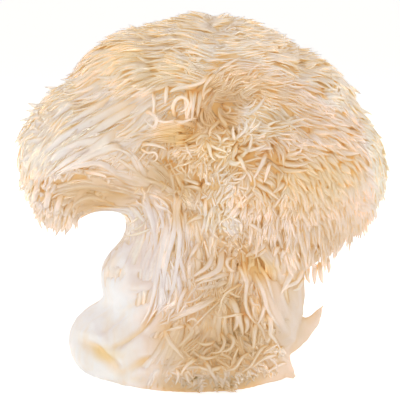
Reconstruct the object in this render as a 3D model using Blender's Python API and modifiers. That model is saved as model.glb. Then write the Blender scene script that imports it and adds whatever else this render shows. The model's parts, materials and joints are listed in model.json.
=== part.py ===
"""A fresh lion's mane mushroom, cut from its block and standing on the cut.

One solid, in metres, +Z up. The origin is on the cut, under the middle of the whole body. -Y is
the side that faces the viewer: the whorl, from which the spines are combed, is on it.
"""

import math
import random

import bmesh
import bpy
from mathutils import Vector
from mathutils.bvhtree import BVHTree

MM = 0.001
NODE = "fruiting_body"
SEED = 11

# Flesh: rounded lumps that melt into each other. Centre and radii in mm.
HEAD_LUMPS = {
    "crown": ((1, 2, 98), (44, 47, 35)),
    "right_dome": ((24, 0, 79), (40, 49, 36)),
    "left_shoulder": ((-31, 0, 90), (32, 41, 26)),
    "lobe_drape": ((-48, -2, 82), (17, 32, 20)),
    "lobe_tip": ((-53, -2, 71), (11, 24, 12)),
    "mane_hem": ((32, -4, 58), (17, 37, 18)),
    "back_dome": ((10, 21, 84), (42, 32, 36)),
}
FOOT_LUMPS = {
    "neck": ((-1, 0, 60), (27, 25, 22)),
    "trunk": ((-5, -1, 37), (31, 27, 26)),
    "foot": ((-4, -1, 12), (36, 28, 22)),
    "left_bulge": ((-34, -1, 15), (17, 21, 14)),
    "right_flange": ((22, -4, 33), (18, 22, 27)),
    "torn_corner": ((25, 4, 4), (11, 13, 7)),
}
FLESH_VOXEL = 2.2
FLESH_MELT_PASSES = 16
SPINE_VOXEL = 1.0
SPINE_MELT_PASSES = 2
BODY_TRIANGLES = 9600

# Hollows in the flesh: the crevice at the whorl and the torn pocket at the foot. Centre and radii.
HOLLOWS = {
    "whorl_crevice": ((3, -47, 104), (8, 7, 4)),
    "torn_pocket": ((13, -30, 31), (9, 7, 8)),
}

# How the mane is combed. It is parted at one X, pulled outward over the crown, thrown away from
# the whorl within its reach, and droops elsewhere, most at the right. Each pull gives way to the
# next over a range of X or Z. The left lobe's strands bend over the arch instead.
WHORL = Vector((2, -46, 101))
WHORL_REACH = 30
WHORL_PULL = 1.3
OUTWARD_PULL = 0.35
PARTING_X = 2.0
PARTING_WIDTH = 10
PARTING_PULL = 0.35
CROWN_PULL = 0.9
CROWN_RANGE = (84, 112)
RIGHT_RANGE = (5, 45)
DROOP = 0.45
RIGHT_DROOP = 0.2
ARCH = Vector((-38, 0, 62))
LOBE_RANGE = (-8, -26)
LOBE_HEIGHTS = (122, 92)
ARCH_PULL = 0.85

# The mane's lower edge on the side that faces the viewer: height at each X, and behind. The
# inner side of the lobe at the arch is bare, and so is what faces straight down.
MANE_EDGE = ((-60, 54), (-34, 66), (-22, 82), (-4, 82), (1, 58), (18, 57), (30, 50), (60, 48))
MANE_EDGE_BEHIND = 54
BEHIND_Y = 8
INNER_SIDE = Vector((-20, 0, 84))
INNER_FACING = 0.3
LOWEST_FACING = -0.8

# Locks are tapered tufts of spines, traced over the flesh along the combing: the length of one
# step, then the radius and the height over the flesh at each knot from root to tip.
HEAD_CENTRE = Vector((0, 0, 88))
LOCK_DIRECTIONS = 140
WHORL_LOCKS = 9
WHORL_RING = 13
LOCK_STEP = 7.0
LOBE_STEP = 9.0
LOBE_EDGE_X = -15
LOCK_RADII = (2.6, 4.2, 3.2, 1.1)
LOCK_LIFT = (-2.6, 0.6, 2.6, 3.9)
LOCK_LEAN = 0.3
LOCK_SIZES = (0.85, 1.2)

# Fibres climb from the foot over the trunk. The angle is taken round the trunk, from +X.
FIBRE_ANGLES = (-158, -136, -116, -98, -80, -60, -25, 25, 75, 125)
FIBRE_FOOT = 9
FIBRE_STEP = 12
FIBRE_KNOTS = 7
FIBRE_TOP = 84
FIBRE_RADIUS = 2.5
FIBRE_SWELL = 0.2
FIBRE_SWAY = 0.25
FIBRE_BEAT = 1.8
FIBRE_LIFT = 1.1
TRUNK_AXIS = Vector((-4, 0, 0))

# Curls on the shaggy front of the foot: angles round the foot and heights.
CURL_ANGLES = (-128, -116, -104, -92, -80, -68, -56)
CURL_HEIGHTS = (24, 11)
CURL_SHIFT = 6
CURL_RADII = (1.8, 2.5, 2.1, 1.1)
CURL_LIFT = (-0.8, 0.6, 1.5, 2.0)
CURL_STEP = 4.4
CURL_DROP = 0.8
CURL_BEAT = 1.3

HORN = (Vector((25, -2, 9)), Vector((37, -3, 19)), Vector((44.6, -4, 27.5)))
HORN_RADII = (8.0, 4.4, 1.0)

CUT_BOX = 200


def smooth_step(low, high, value):
    """0 at low, 1 at high, and a smooth rise between them."""
    t = min(max((value - low) / (high - low), 0.0), 1.0)
    return t * t * (3 - 2 * t)


def clear_scene():
    for obj in list(bpy.data.objects):
        bpy.data.objects.remove(obj)


def new_collection(name):
    made = bpy.data.collections.new(name)
    bpy.context.scene.collection.children.link(made)
    return made


def as_helper(obj, collection):
    """Moves a guide or a cutter to its collection, and keeps it out of the part."""
    for old in list(obj.users_collection):
        old.objects.unlink(obj)
    collection.objects.link(obj)
    obj.hide_render = True
    obj.display_type = "WIRE"


def add_ellipsoid(name, centre, radii, subdivisions, collection):
    bpy.ops.mesh.primitive_ico_sphere_add(subdivisions=subdivisions, radius=MM)
    obj = bpy.context.object
    obj.name = name
    obj.scale = radii
    obj.location = Vector(centre) * MM
    bpy.ops.object.transform_apply(location=True, rotation=False, scale=True)
    as_helper(obj, collection)
    return obj


def evaluated_mesh(obj):
    """A copy of the mesh that the object's modifiers give."""
    graph = bpy.context.evaluated_depsgraph_get()
    return bpy.data.meshes.new_from_object(obj.evaluated_get(graph))


def melt(obj, voxel, passes):
    """Fuses what overlaps in the object, and softens the seams."""
    fuse = obj.modifiers.new("fuse", "REMESH")
    fuse.mode = "VOXEL"
    fuse.voxel_size = voxel * MM
    soften = obj.modifiers.new("soften", "SMOOTH")
    soften.iterations = passes


def thin_to(obj, triangles):
    """Collapses the flattest faces until about this many triangles are left."""
    fine = evaluated_mesh(obj)
    fine.calc_loop_triangles()
    thin = obj.modifiers.new("thin", "DECIMATE")
    thin.ratio = triangles / len(fine.loop_triangles)
    bpy.data.meshes.remove(fine)


def make_flesh(guides):
    """The lumps melted into one skin, with the hollows cut in it."""
    lumps = {**HEAD_LUMPS, **FOOT_LUMPS}
    made = [add_ellipsoid(name, centre, radii, 4, guides) for name, (centre, radii) in lumps.items()]
    bpy.ops.object.select_all(action="DESELECT")
    for obj in made:
        obj.select_set(True)
    bpy.context.view_layer.objects.active = made[0]
    bpy.ops.object.join()
    flesh = made[0]
    flesh.name = "flesh_guide"

    melt(flesh, FLESH_VOXEL, FLESH_MELT_PASSES)
    for name, (centre, radii) in HOLLOWS.items():
        cut = flesh.modifiers.new(name, "BOOLEAN")
        cut.operation = "DIFFERENCE"
        cut.object = add_ellipsoid(name, centre, radii, 2, guides)
    return flesh


def combing(place, normal):
    """The direction that the spines are combed in at a place on the head, along the skin."""
    x, _, z = place
    away = place - WHORL
    near = math.exp(-away.length / WHORL_REACH)
    side = math.tanh((x - PARTING_X) / PARTING_WIDTH)
    high = smooth_step(*CROWN_RANGE, z)
    right = smooth_step(*RIGHT_RANGE, x)
    flow = Vector((side * (PARTING_PULL + CROWN_PULL * high), 0, 0))
    flow += away.normalized() * (OUTWARD_PULL + WHORL_PULL * near)
    flow.z -= DROOP + DROOP * (1 - high) * (1 + right) + RIGHT_DROOP * right
    lobe = smooth_step(*LOBE_RANGE, x) * smooth_step(*LOBE_HEIGHTS, z)
    round_arch = Vector((ARCH.z - z, 0, x - ARCH.x)).normalized()
    flow = flow.normalized().lerp(round_arch, ARCH_PULL * lobe)
    flow -= normal * flow.dot(normal)
    return flow.normalized()


def mane_edge(x):
    """The height of the mane's lower edge, seen from the front."""
    for (x0, z0), (x1, z1) in zip(MANE_EDGE, MANE_EDGE[1:]):
        if x < x1:
            return z0 + (z1 - z0) * max((x - x0) / (x1 - x0), 0.0)
    return MANE_EDGE[-1][1]


def bears_spines(place, normal):
    """True where the mane grows: the head above the edge, without its inner side at the arch."""
    edge = MANE_EDGE_BEHIND if place.y > BEHIND_Y else mane_edge(place.x)
    at_arch = place.x < INNER_SIDE.x and place.z < INNER_SIDE.z
    inner_side = at_arch and normal.x > INNER_FACING
    return place.z > edge and normal.z > LOWEST_FACING and not inner_side


def add_strand(name, points, radii, collection):
    """A six-sided tapered tube through the points, as a closed mesh."""
    curve = bpy.data.curves.new(name, "CURVE")
    curve.dimensions = "3D"
    curve.bevel_depth = MM
    curve.bevel_resolution = 1
    curve.use_fill_caps = True
    spline = curve.splines.new("POLY")
    spline.points.add(len(points) - 1)
    for knot, place, radius in zip(spline.points, points, radii):
        knot.co = (*(place * MM), 1)
        knot.radius = radius
    guide = bpy.data.objects.new(name + "_curve", curve)
    collection.objects.link(guide)
    mesh = evaluated_mesh(guide)
    bpy.data.objects.remove(guide)
    welded = bmesh.new()
    welded.from_mesh(mesh)
    bmesh.ops.remove_doubles(welded, verts=welded.verts, dist=1e-6)
    bmesh.ops.recalc_face_normals(welded, faces=welded.faces)
    welded.to_mesh(mesh)
    welded.free()
    as_helper(bpy.data.objects.new(name, mesh), collection)


def even_directions(count):
    """Directions spread evenly over a sphere."""
    turn = math.pi * (3 - math.sqrt(5))
    for i in range(count):
        z = 1 - 2 * (i + 0.5) / count
        r = math.sqrt(1 - z * z)
        yield Vector((r * math.cos(i * turn), r * math.sin(i * turn), z))


def hit_from_outside(skin, centre, direction):
    """Where a ray from outside towards the centre meets the skin, in mm, and the normal there."""
    reach = CUT_BOX * MM
    place, normal, _, _ = skin.ray_cast(centre * MM + direction * reach, -direction)
    return (place / MM, normal) if place else (None, None)


def step_along(skin, place, direction):
    """The nearest place on the skin after a step, in mm, and the normal there."""
    near, normal, _, _ = skin.find_nearest((place + direction) * MM)
    return near / MM, normal


def lock_roots(skin):
    """Where the locks start: spread evenly over the head, and in a ring round the whorl."""
    for direction in even_directions(LOCK_DIRECTIONS):
        yield hit_from_outside(skin, HEAD_CENTRE, direction)
    for i in range(WHORL_LOCKS):
        turn = math.tau * i / WHORL_LOCKS
        ring = WHORL + Vector((math.cos(turn), 0, math.sin(turn))) * WHORL_RING
        yield hit_from_outside(skin, ring, Vector((0, -1, 0)))


def add_locks(skin, strands):
    """Tufts traced over the head, each sunk at its root and free at its tip."""
    chance = random.Random(SEED)
    for i, (place, normal) in enumerate(lock_roots(skin)):
        if place is None or not bears_spines(place, normal):
            continue
        size = chance.uniform(*LOCK_SIZES)
        lean = chance.uniform(-LOCK_LEAN, LOCK_LEAN)
        step = (LOBE_STEP if place.x < LOBE_EDGE_X else LOCK_STEP) * size
        points = []
        for lift in LOCK_LIFT:
            points.append(place + normal * lift * size)
            flow = combing(place, normal)
            flow = (flow + normal.cross(flow) * lean).normalized()
            place, normal = step_along(skin, place, flow * step)
        add_strand(f"lock_{i:03d}", points, [r * size for r in LOCK_RADII], strands)


def add_fibres(skin, strands):
    """Ridges that climb the trunk and spread under the head."""
    for i, angle in enumerate(FIBRE_ANGLES):
        turn = math.radians(angle)
        outward = Vector((math.cos(turn), math.sin(turn), 0))
        start = TRUNK_AXIS + Vector((0, 0, FIBRE_FOOT))
        place, normal = hit_from_outside(skin, start, outward)
        points = []
        while len(points) < FIBRE_KNOTS and place.z < FIBRE_TOP:
            points.append(place + normal * FIBRE_LIFT)
            sway = Vector((math.sin(FIBRE_BEAT * len(points) + i) * FIBRE_SWAY, 0, 1))
            along = (sway - normal * sway.dot(normal)).normalized()
            place, normal = step_along(skin, place, along * FIBRE_STEP)
        swell = [math.cos(FIBRE_BEAT * k + i) - 1 for k in range(len(points) - 1)]
        radii = [FIBRE_RADIUS * (1 + FIBRE_SWELL * rise) for rise in swell]
        add_strand(f"fibre_{i:02d}", points, [*radii, FIBRE_RADIUS / 3], strands)


def add_curls(skin, strands):
    """Short curls that hang on the front of the foot."""
    for row, height in enumerate(CURL_HEIGHTS):
        for i, angle in enumerate(CURL_ANGLES):
            turn = math.radians(angle + CURL_SHIFT * row)
            outward = Vector((math.cos(turn), math.sin(turn), 0))
            start = TRUNK_AXIS + Vector((0, 0, height))
            place, normal = hit_from_outside(skin, start, outward)
            points = []
            for k, lift in enumerate(CURL_LIFT):
                points.append(place + normal * lift)
                bend = Vector((math.sin(CURL_BEAT * k + 2 * i + row), 0, -CURL_DROP))
                along = (bend - normal * bend.dot(normal)).normalized()
                place, normal = step_along(skin, place, along * CURL_STEP)
            add_strand(f"curl_{row}_{i}", points, CURL_RADII, strands)


def keep_outer_skin(mesh):
    """Deletes the closed bubbles that crossing locks leave inside, and keeps the widest shell."""
    shells = bmesh.new()
    shells.from_mesh(mesh)
    unseen = set(shells.verts)
    islands = []
    while unseen:
        island = [unseen.pop()]
        for vert in island:
            for edge in vert.link_edges:
                other = edge.other_vert(vert)
                if other in unseen:
                    unseen.remove(other)
                    island.append(other)
        islands.append(island)
    islands.sort(key=lambda island: max(v.co.z for v in island) - min(v.co.z for v in island))
    for island in islands[:-1]:
        bmesh.ops.delete(shells, geom=island, context="VERTS")
    shells.to_mesh(mesh)
    shells.free()


def grow_together(flesh_mesh, strands, guides):
    """Flesh and strands melted into one skin, and thinned to few faces. Returns its mesh."""
    grown = bpy.data.objects.new("grown_guide", flesh_mesh)
    as_helper(grown, guides)
    bpy.ops.object.select_all(action="DESELECT")
    for obj in [grown, *strands.objects]:
        obj.select_set(True)
    bpy.context.view_layer.objects.active = grown
    bpy.ops.object.join()
    melt(grown, SPINE_VOXEL, SPINE_MELT_PASSES)
    thin_to(grown, BODY_TRIANGLES)
    mesh = evaluated_mesh(grown)
    keep_outer_skin(mesh)
    return mesh


def cut_at_block(body, guides):
    """The flat cut that the body stands on."""
    bpy.ops.mesh.primitive_cube_add(size=CUT_BOX * MM, location=(0, 0, -CUT_BOX * MM / 2))
    knife = bpy.context.object
    knife.name = "knife"
    as_helper(knife, guides)
    cut = body.modifiers.new("cut_at_block", "BOOLEAN")
    cut.operation = "DIFFERENCE"
    cut.object = knife


def make_body():
    parts = new_collection("lions_mane_mushroom")
    guides = new_collection("guides")
    strands = new_collection("strands")

    flesh_mesh = evaluated_mesh(make_flesh(guides))
    skin = BVHTree.FromPolygons(
        [v.co for v in flesh_mesh.vertices], [p.vertices for p in flesh_mesh.polygons]
    )
    add_locks(skin, strands)
    add_fibres(skin, strands)
    add_curls(skin, strands)
    add_strand("horn", HORN, HORN_RADII, strands)

    body = bpy.data.objects.new(NODE, grow_together(flesh_mesh, strands, guides))
    parts.objects.link(body)
    cut_at_block(body, guides)
    return body


def flesh_material():
    material = bpy.data.materials.new("ivory_flesh")
    material.use_nodes = True
    shader = material.node_tree.nodes["Principled BSDF"]
    shader.inputs["Base Color"].default_value = (0.87, 0.72, 0.52, 1)
    shader.inputs["Roughness"].default_value = 0.55
    shader.inputs["Metallic"].default_value = 0.0
    return material


def main():
    clear_scene()
    body = make_body()
    body.data.materials.clear()
    body.data.materials.append(flesh_material())
    body.data.shade_smooth()
    body.data.set_sharp_from_angle(angle=math.radians(50))


main()
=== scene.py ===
"""A fresh lion's mane mushroom, standing on its cut: the flesh, the fibres and the mane of spines.

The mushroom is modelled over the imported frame. Places and sizes are in millimetres and become
metres where a mesh or a material is made. +Z is up from the cut, and -Y faces the viewer.
"""

import json
import logging
import math
import random
from collections.abc import Callable, Iterator, Sequence
from dataclasses import dataclass, field, fields
from enum import Enum
from itertools import product

import bpy
import numpy as np
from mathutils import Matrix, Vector, noise
from mathutils.bvhtree import BVHTree

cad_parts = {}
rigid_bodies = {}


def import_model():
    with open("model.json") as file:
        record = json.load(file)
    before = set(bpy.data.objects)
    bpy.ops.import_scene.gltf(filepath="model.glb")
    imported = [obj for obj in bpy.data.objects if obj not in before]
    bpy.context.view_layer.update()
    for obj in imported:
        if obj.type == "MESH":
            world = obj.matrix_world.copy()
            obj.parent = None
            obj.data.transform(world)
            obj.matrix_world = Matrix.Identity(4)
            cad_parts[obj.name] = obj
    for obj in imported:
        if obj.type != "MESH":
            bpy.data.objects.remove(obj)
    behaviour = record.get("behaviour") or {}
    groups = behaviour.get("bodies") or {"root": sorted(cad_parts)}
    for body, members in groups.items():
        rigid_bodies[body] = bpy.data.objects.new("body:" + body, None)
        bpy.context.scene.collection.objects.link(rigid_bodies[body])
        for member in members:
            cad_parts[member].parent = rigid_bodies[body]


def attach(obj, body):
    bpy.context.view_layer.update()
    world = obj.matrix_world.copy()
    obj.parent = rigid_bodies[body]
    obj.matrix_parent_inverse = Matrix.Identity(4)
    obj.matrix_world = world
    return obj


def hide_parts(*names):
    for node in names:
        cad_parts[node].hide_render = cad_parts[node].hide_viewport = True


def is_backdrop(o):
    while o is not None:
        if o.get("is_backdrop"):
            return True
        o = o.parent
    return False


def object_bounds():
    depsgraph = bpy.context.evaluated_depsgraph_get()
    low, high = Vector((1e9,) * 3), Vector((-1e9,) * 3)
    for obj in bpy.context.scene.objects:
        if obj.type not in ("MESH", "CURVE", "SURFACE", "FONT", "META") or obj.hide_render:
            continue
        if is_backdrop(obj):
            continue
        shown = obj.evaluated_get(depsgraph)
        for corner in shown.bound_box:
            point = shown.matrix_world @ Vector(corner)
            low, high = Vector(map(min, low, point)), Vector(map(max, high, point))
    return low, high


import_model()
CAD_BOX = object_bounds()

log = logging.getLogger("lions_mane")

MM = 0.001
NODE = "fruiting_body"
BODY = "root"
DOWN = Vector((0, 0, -1))

INF = math.inf
TINY = 1e-9

Span = tuple[float, float]
Triple = tuple[float, float, float]
Colour = tuple[float, float, float]


# Small helpers


def smooth_step(low: float, high: float, value: float) -> float:
    """Rises smoothly from 0 at low to 1 at high.

    Args:
        low: The value that gives 0.
        high: The value that gives 1. It may be under low.
        value: The value to judge.

    Returns:
        A share from 0 to 1.
    """
    t = min(max((value - low) / (high - low), 0.0), 1.0)
    return t * t * (3 - 2 * t)


def mixed(a: float, b: float, share: float) -> float:
    """Returns the value that lies at this share of the way from a to b."""
    return a + (b - a) * share


def deselect_all() -> None:
    """Deselects everything, the frame's own nodes too."""
    bpy.ops.object.select_all(action="DESELECT")


def make_active(obj: bpy.types.Object) -> None:
    """Selects one object alone and makes it the active one."""
    deselect_all()
    obj.select_set(True)
    bpy.context.view_layer.objects.active = obj


def joined(pieces: Sequence[bpy.types.Object]) -> bpy.types.Object:
    """Joins pieces into the first of them, and returns it."""
    make_active(pieces[0])
    for piece in pieces:
        piece.select_set(True)
    bpy.ops.object.join()
    return bpy.context.object


def apply_modifier(obj: bpy.types.Object, kind: str, **settings: object) -> None:
    """Adds a modifier to an object, sets it and applies it.

    Args:
        obj: The object to change.
        kind: Blender's name for the modifier's type.
        **settings: The modifier's own properties.
    """
    make_active(obj)
    modifier = obj.modifiers.new(kind.lower(), kind)
    for name, value in settings.items():
        setattr(modifier, name, value)
    bpy.ops.object.modifier_apply(modifier=modifier.name)


def declare(piece: bpy.types.Object) -> None:
    """Attaches a piece to the body it rides on, hides the frame's node and logs the piece's faces."""
    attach(piece, BODY)
    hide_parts(NODE)
    log.info("%s: %d faces", piece.name, len(piece.data.polygons))


@dataclass(frozen=True)
class Fade:
    """A share that rises from 0 to 1 across the mushroom, in mm along each axis that is given."""

    x: Span | None = None
    y: Span | None = None
    z: Span | None = None

    def at(self, place: Vector) -> float:
        """The share at a place."""
        share = 1.0
        for value, span in zip(place, (self.x, self.y, self.z)):
            if span:
                share *= smooth_step(*span, value)
        return share


@dataclass(frozen=True)
class Slope:
    """A value that grows across the mushroom: its least, and how much more it is in full."""

    least: float
    more: float
    fade: Fade

    def at(self, place: Vector) -> float:
        """The value at a place."""
        return self.least + self.more * self.fade.at(place)


@dataclass(frozen=True)
class Zone:
    """A box on the mushroom, in mm, endless where no span is given."""

    x: Span = (-INF, INF)
    y: Span = (-INF, INF)
    z: Span = (-INF, INF)

    def holds(self, place: Vector) -> bool:
        """True for a place inside the box."""
        spans = (self.x, self.y, self.z)
        return all(low < value < high for value, (low, high) in zip(place, spans))


# The flesh


@dataclass(frozen=True)
class Lump:
    """A rounded lump of flesh, or a hollow of that form."""

    name: str
    centre: Triple
    radii: Triple

    def build(self, subdivisions: int) -> bpy.types.Object:
        """Adds the lump as a mesh with its place in it.

        Args:
            subdivisions: How fine the lump is.

        Returns:
            The new object.
        """
        deselect_all()
        bpy.ops.mesh.primitive_ico_sphere_add(
            subdivisions=subdivisions,
            radius=MM,
            location=Vector(self.centre) * MM,
            scale=self.radii,
        )
        lump = bpy.context.object
        lump.name = self.name
        bpy.ops.object.transform_apply(location=True, rotation=True, scale=True)
        return lump


LUMPS = (
    Lump("crown", (1, 2, 99), (43, 47, 36.5)),
    Lump("crown_left", (-20, 2, 106), (28, 40, 25)),
    Lump("crown_right", (15, 2, 105), (26.5, 42, 25.5)),
    Lump("right_saddle", (35, 0, 99), (20.5, 37, 22)),
    Lump("right_dome", (26, 0, 80.5), (41, 49, 31)),
    Lump("left_shoulder", (-32, 0, 89.5), (33, 41, 25)),
    Lump("lobe_drape", (-49, -2, 84), (18.5, 32, 21)),
    Lump("lobe_tip", (-53, -2, 71), (11, 24, 12)),
    Lump("mane_hem", (31, -5, 62), (18, 40, 20)),
    Lump("back_dome", (10, 21, 84), (42, 32, 36)),
    Lump("neck", (-1, 0, 60), (27, 25, 22)),
    Lump("trunk", (-5, -1, 37), (31, 27, 26)),
    Lump("foot", (-4, -1, 12), (36, 28, 22)),
    Lump("left_bulge", (-34, -1, 15), (17, 21, 14)),
    Lump("right_flange", (20.5, -4, 34), (17.5, 22, 27)),
    Lump("torn_corner", (23, 0, 4), (11, 13, 7)),
    Lump("bulge_shoulder", (-27, -2, 38), (12, 17, 13)),
)
HOLLOWS = (
    Lump("whorl_crevice", (3, -49, 104), (8, 5, 3.5)),
    Lump("torn_pocket", (13, -30, 31), (9, 7, 8)),
)


@dataclass(frozen=True)
class Point:
    """A torn point of flesh: the places along it, and how thick it is at each."""

    name: str
    places: tuple[Triple, ...]
    radii: tuple[float, ...]
    beads: int = 12
    bead_detail: int = 3
    flatness: float = 0.7

    def build(self) -> list[bpy.types.Object]:
        """Adds the point as a row of overlapping beads.

        Returns:
            The beads.
        """
        made = []
        for k in range(self.beads):
            share = k / (self.beads - 1) * (len(self.places) - 1)
            i = min(int(share), len(self.places) - 2)
            centre = Vector(self.places[i]).lerp(Vector(self.places[i + 1]), share - i)
            radius = mixed(self.radii[i], self.radii[i + 1], share - i)
            size = (radius, radius * self.flatness, radius)
            made.append(Lump(f"{self.name}_{k}", tuple(centre), size).build(self.bead_detail))
        return made


TORN_POINTS = (
    Point("horn", ((25, -2, 11), (35, -3, 17), (41, -4, 22), (44.8, -4, 28)), (7.0, 4.6, 2.6, 0.7)),
    Point("corner", ((22, -2, 6), (29, -4, 4), (33.6, -6, 1.6)), (7.0, 3.6, 1.0)),
)


@dataclass(frozen=True)
class Fold:
    """A ridge or a crease on the skin, along a line from one place to another."""

    start: Triple
    end: Triple
    width: float
    height: float
    end_share: float = 0.35
    ends: Span = (0.02, 0.98)

    def rise(self, places: np.ndarray) -> np.ndarray:
        """How far the fold lifts each place.

        Args:
            places: One place a row, in mm.

        Returns:
            The lift at each place, in mm, below zero in a crease.
        """
        start, end = np.array(self.start), np.array(self.end)
        line = end - start
        share = np.clip((places - start) @ line / (line @ line), 0, 1)
        gap = np.linalg.norm(places - start - share[:, None] * line, axis=1)
        taper = mixed(self.end_share, 1, np.sin(np.pi * np.clip(share, *self.ends)))
        return self.height * taper * np.exp(-((gap / self.width) ** 2))


FOLDS = (
    Fold((-38, 8, 44), (-30, 18, 20), 3.0, -2.4),
    Fold((-48, 12, 22), (-26, 24, 30), 2.6, -2.2),
    Fold((-20, 26, 44), (-16, 27, 12), 3.0, -2.1),
    Fold((2, 26, 46), (0, 27, 10), 3.2, 2.1),
    Fold((14, 24, 44), (18, 22, 8), 2.8, -2.2),
    Fold((36, 6, 46), (38, 4, 16), 3.2, -1.8),
)


@dataclass(frozen=True)
class Viewer:
    """The photograph's viewpoint, and its picture plane through the place that is looked at.

    Places on the plane are mm across and up, from the middle of the cut's lower edge.
    """

    target: Triple = (-1.31, 0, 67.36)
    distance: float = 640.0
    tilt_deg: float = 8.0
    middle: Span = (-1.31, 71.3)

    def axes(self) -> np.ndarray:
        """The picture's directions: across, up and into it, one a row."""
        tilt = math.radians(self.tilt_deg)
        sine, cosine = math.sin(tilt), math.cos(tilt)
        return np.array([(1, 0, 0), (0, sine, cosine), (0, cosine, -sine)])

    def eye(self) -> np.ndarray:
        """The viewpoint, in mm."""
        return np.array(self.target) - self.axes()[2] * self.distance

    def seen(self, places: np.ndarray) -> np.ndarray:
        """Where places are seen in the picture plane.

        Args:
            places: One place a row, in mm.

        Returns:
            Their places across and up, one a row.
        """
        inside = (places - self.eye()) @ self.axes().T
        return inside[:, :2] / inside[:, 2:] * self.distance + np.array(self.middle)

    def sights(self, drawn: np.ndarray) -> np.ndarray:
        """The lines of sight through places of the picture plane.

        Args:
            drawn: Their places across and up, one a row.

        Returns:
            One unit direction a row, away from the eye.
        """
        offset = drawn - np.array(self.middle)
        depth = np.full((len(drawn), 1), self.distance)
        return unit_rows(np.concatenate([offset, depth], axis=1) @ self.axes())


VIEWER = Viewer()


def unit_rows(rows: np.ndarray) -> np.ndarray:
    """Scales each row to length one."""
    return rows / (np.linalg.norm(rows, axis=-1, keepdims=True) + TINY)


def smooth_curve(places: Sequence[Span], count: int) -> np.ndarray:
    """Runs a smooth curve through places of the picture plane.

    Args:
        places: The places, in mm across and up.
        count: How many knots to return.

    Returns:
        One knot a row.
    """
    ends = np.array([places[0], *places, places[-1]], float)
    found = []
    for at in np.linspace(0, len(places) - 1, count):
        i = min(int(at), len(places) - 2)
        t = at - i
        a, b, c, d = ends[i : i + 4]
        bend = (2 * a - 5 * b + 4 * c - d) * t * t + (3 * b - a - 3 * c + d) * t**3
        found.append(0.5 * (2 * b + (c - a) * t + bend))
    return np.array(found)


@dataclass(frozen=True)
class DrawnFold:
    """A ridge or a crease on the front, drawn as the viewer sees it.

    Its places are mm across and up in the picture plane.
    """

    width: float
    height: float
    places: tuple[Span, ...]
    reach: float = 3
    knots: int = 8
    ends: Span = (0.06, 0.94)

    def rise(self, seen: np.ndarray) -> np.ndarray:
        """How far the fold lifts each place.

        Args:
            seen: Where each place is seen in the picture plane, one a row.

        Returns:
            The lift at each place, in mm, below zero in a crease.
        """
        curve = smooth_curve(self.places, self.knots * len(self.places))
        reach = self.reach * self.width
        near = ((seen > curve.min(0) - reach) & (seen < curve.max(0) + reach)).all(1)
        gaps = np.linalg.norm(seen[near, None] - curve[None], axis=2)
        nearest = gaps.argmin(1)
        taper = np.sin(np.pi * np.clip(nearest / (len(curve) - 1), *self.ends)) ** 0.5
        lift = np.zeros(len(seen))
        lift[near] = self.height * taper * np.exp(-((gaps.min(1) / self.width) ** 2))
        return lift


def all_drawn(kind: type, *rows: tuple) -> tuple:
    """Makes what is drawn, from rows of a width, a height and then the places."""
    return tuple(kind(width, height, tuple(places)) for width, height, *places in rows)


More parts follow.
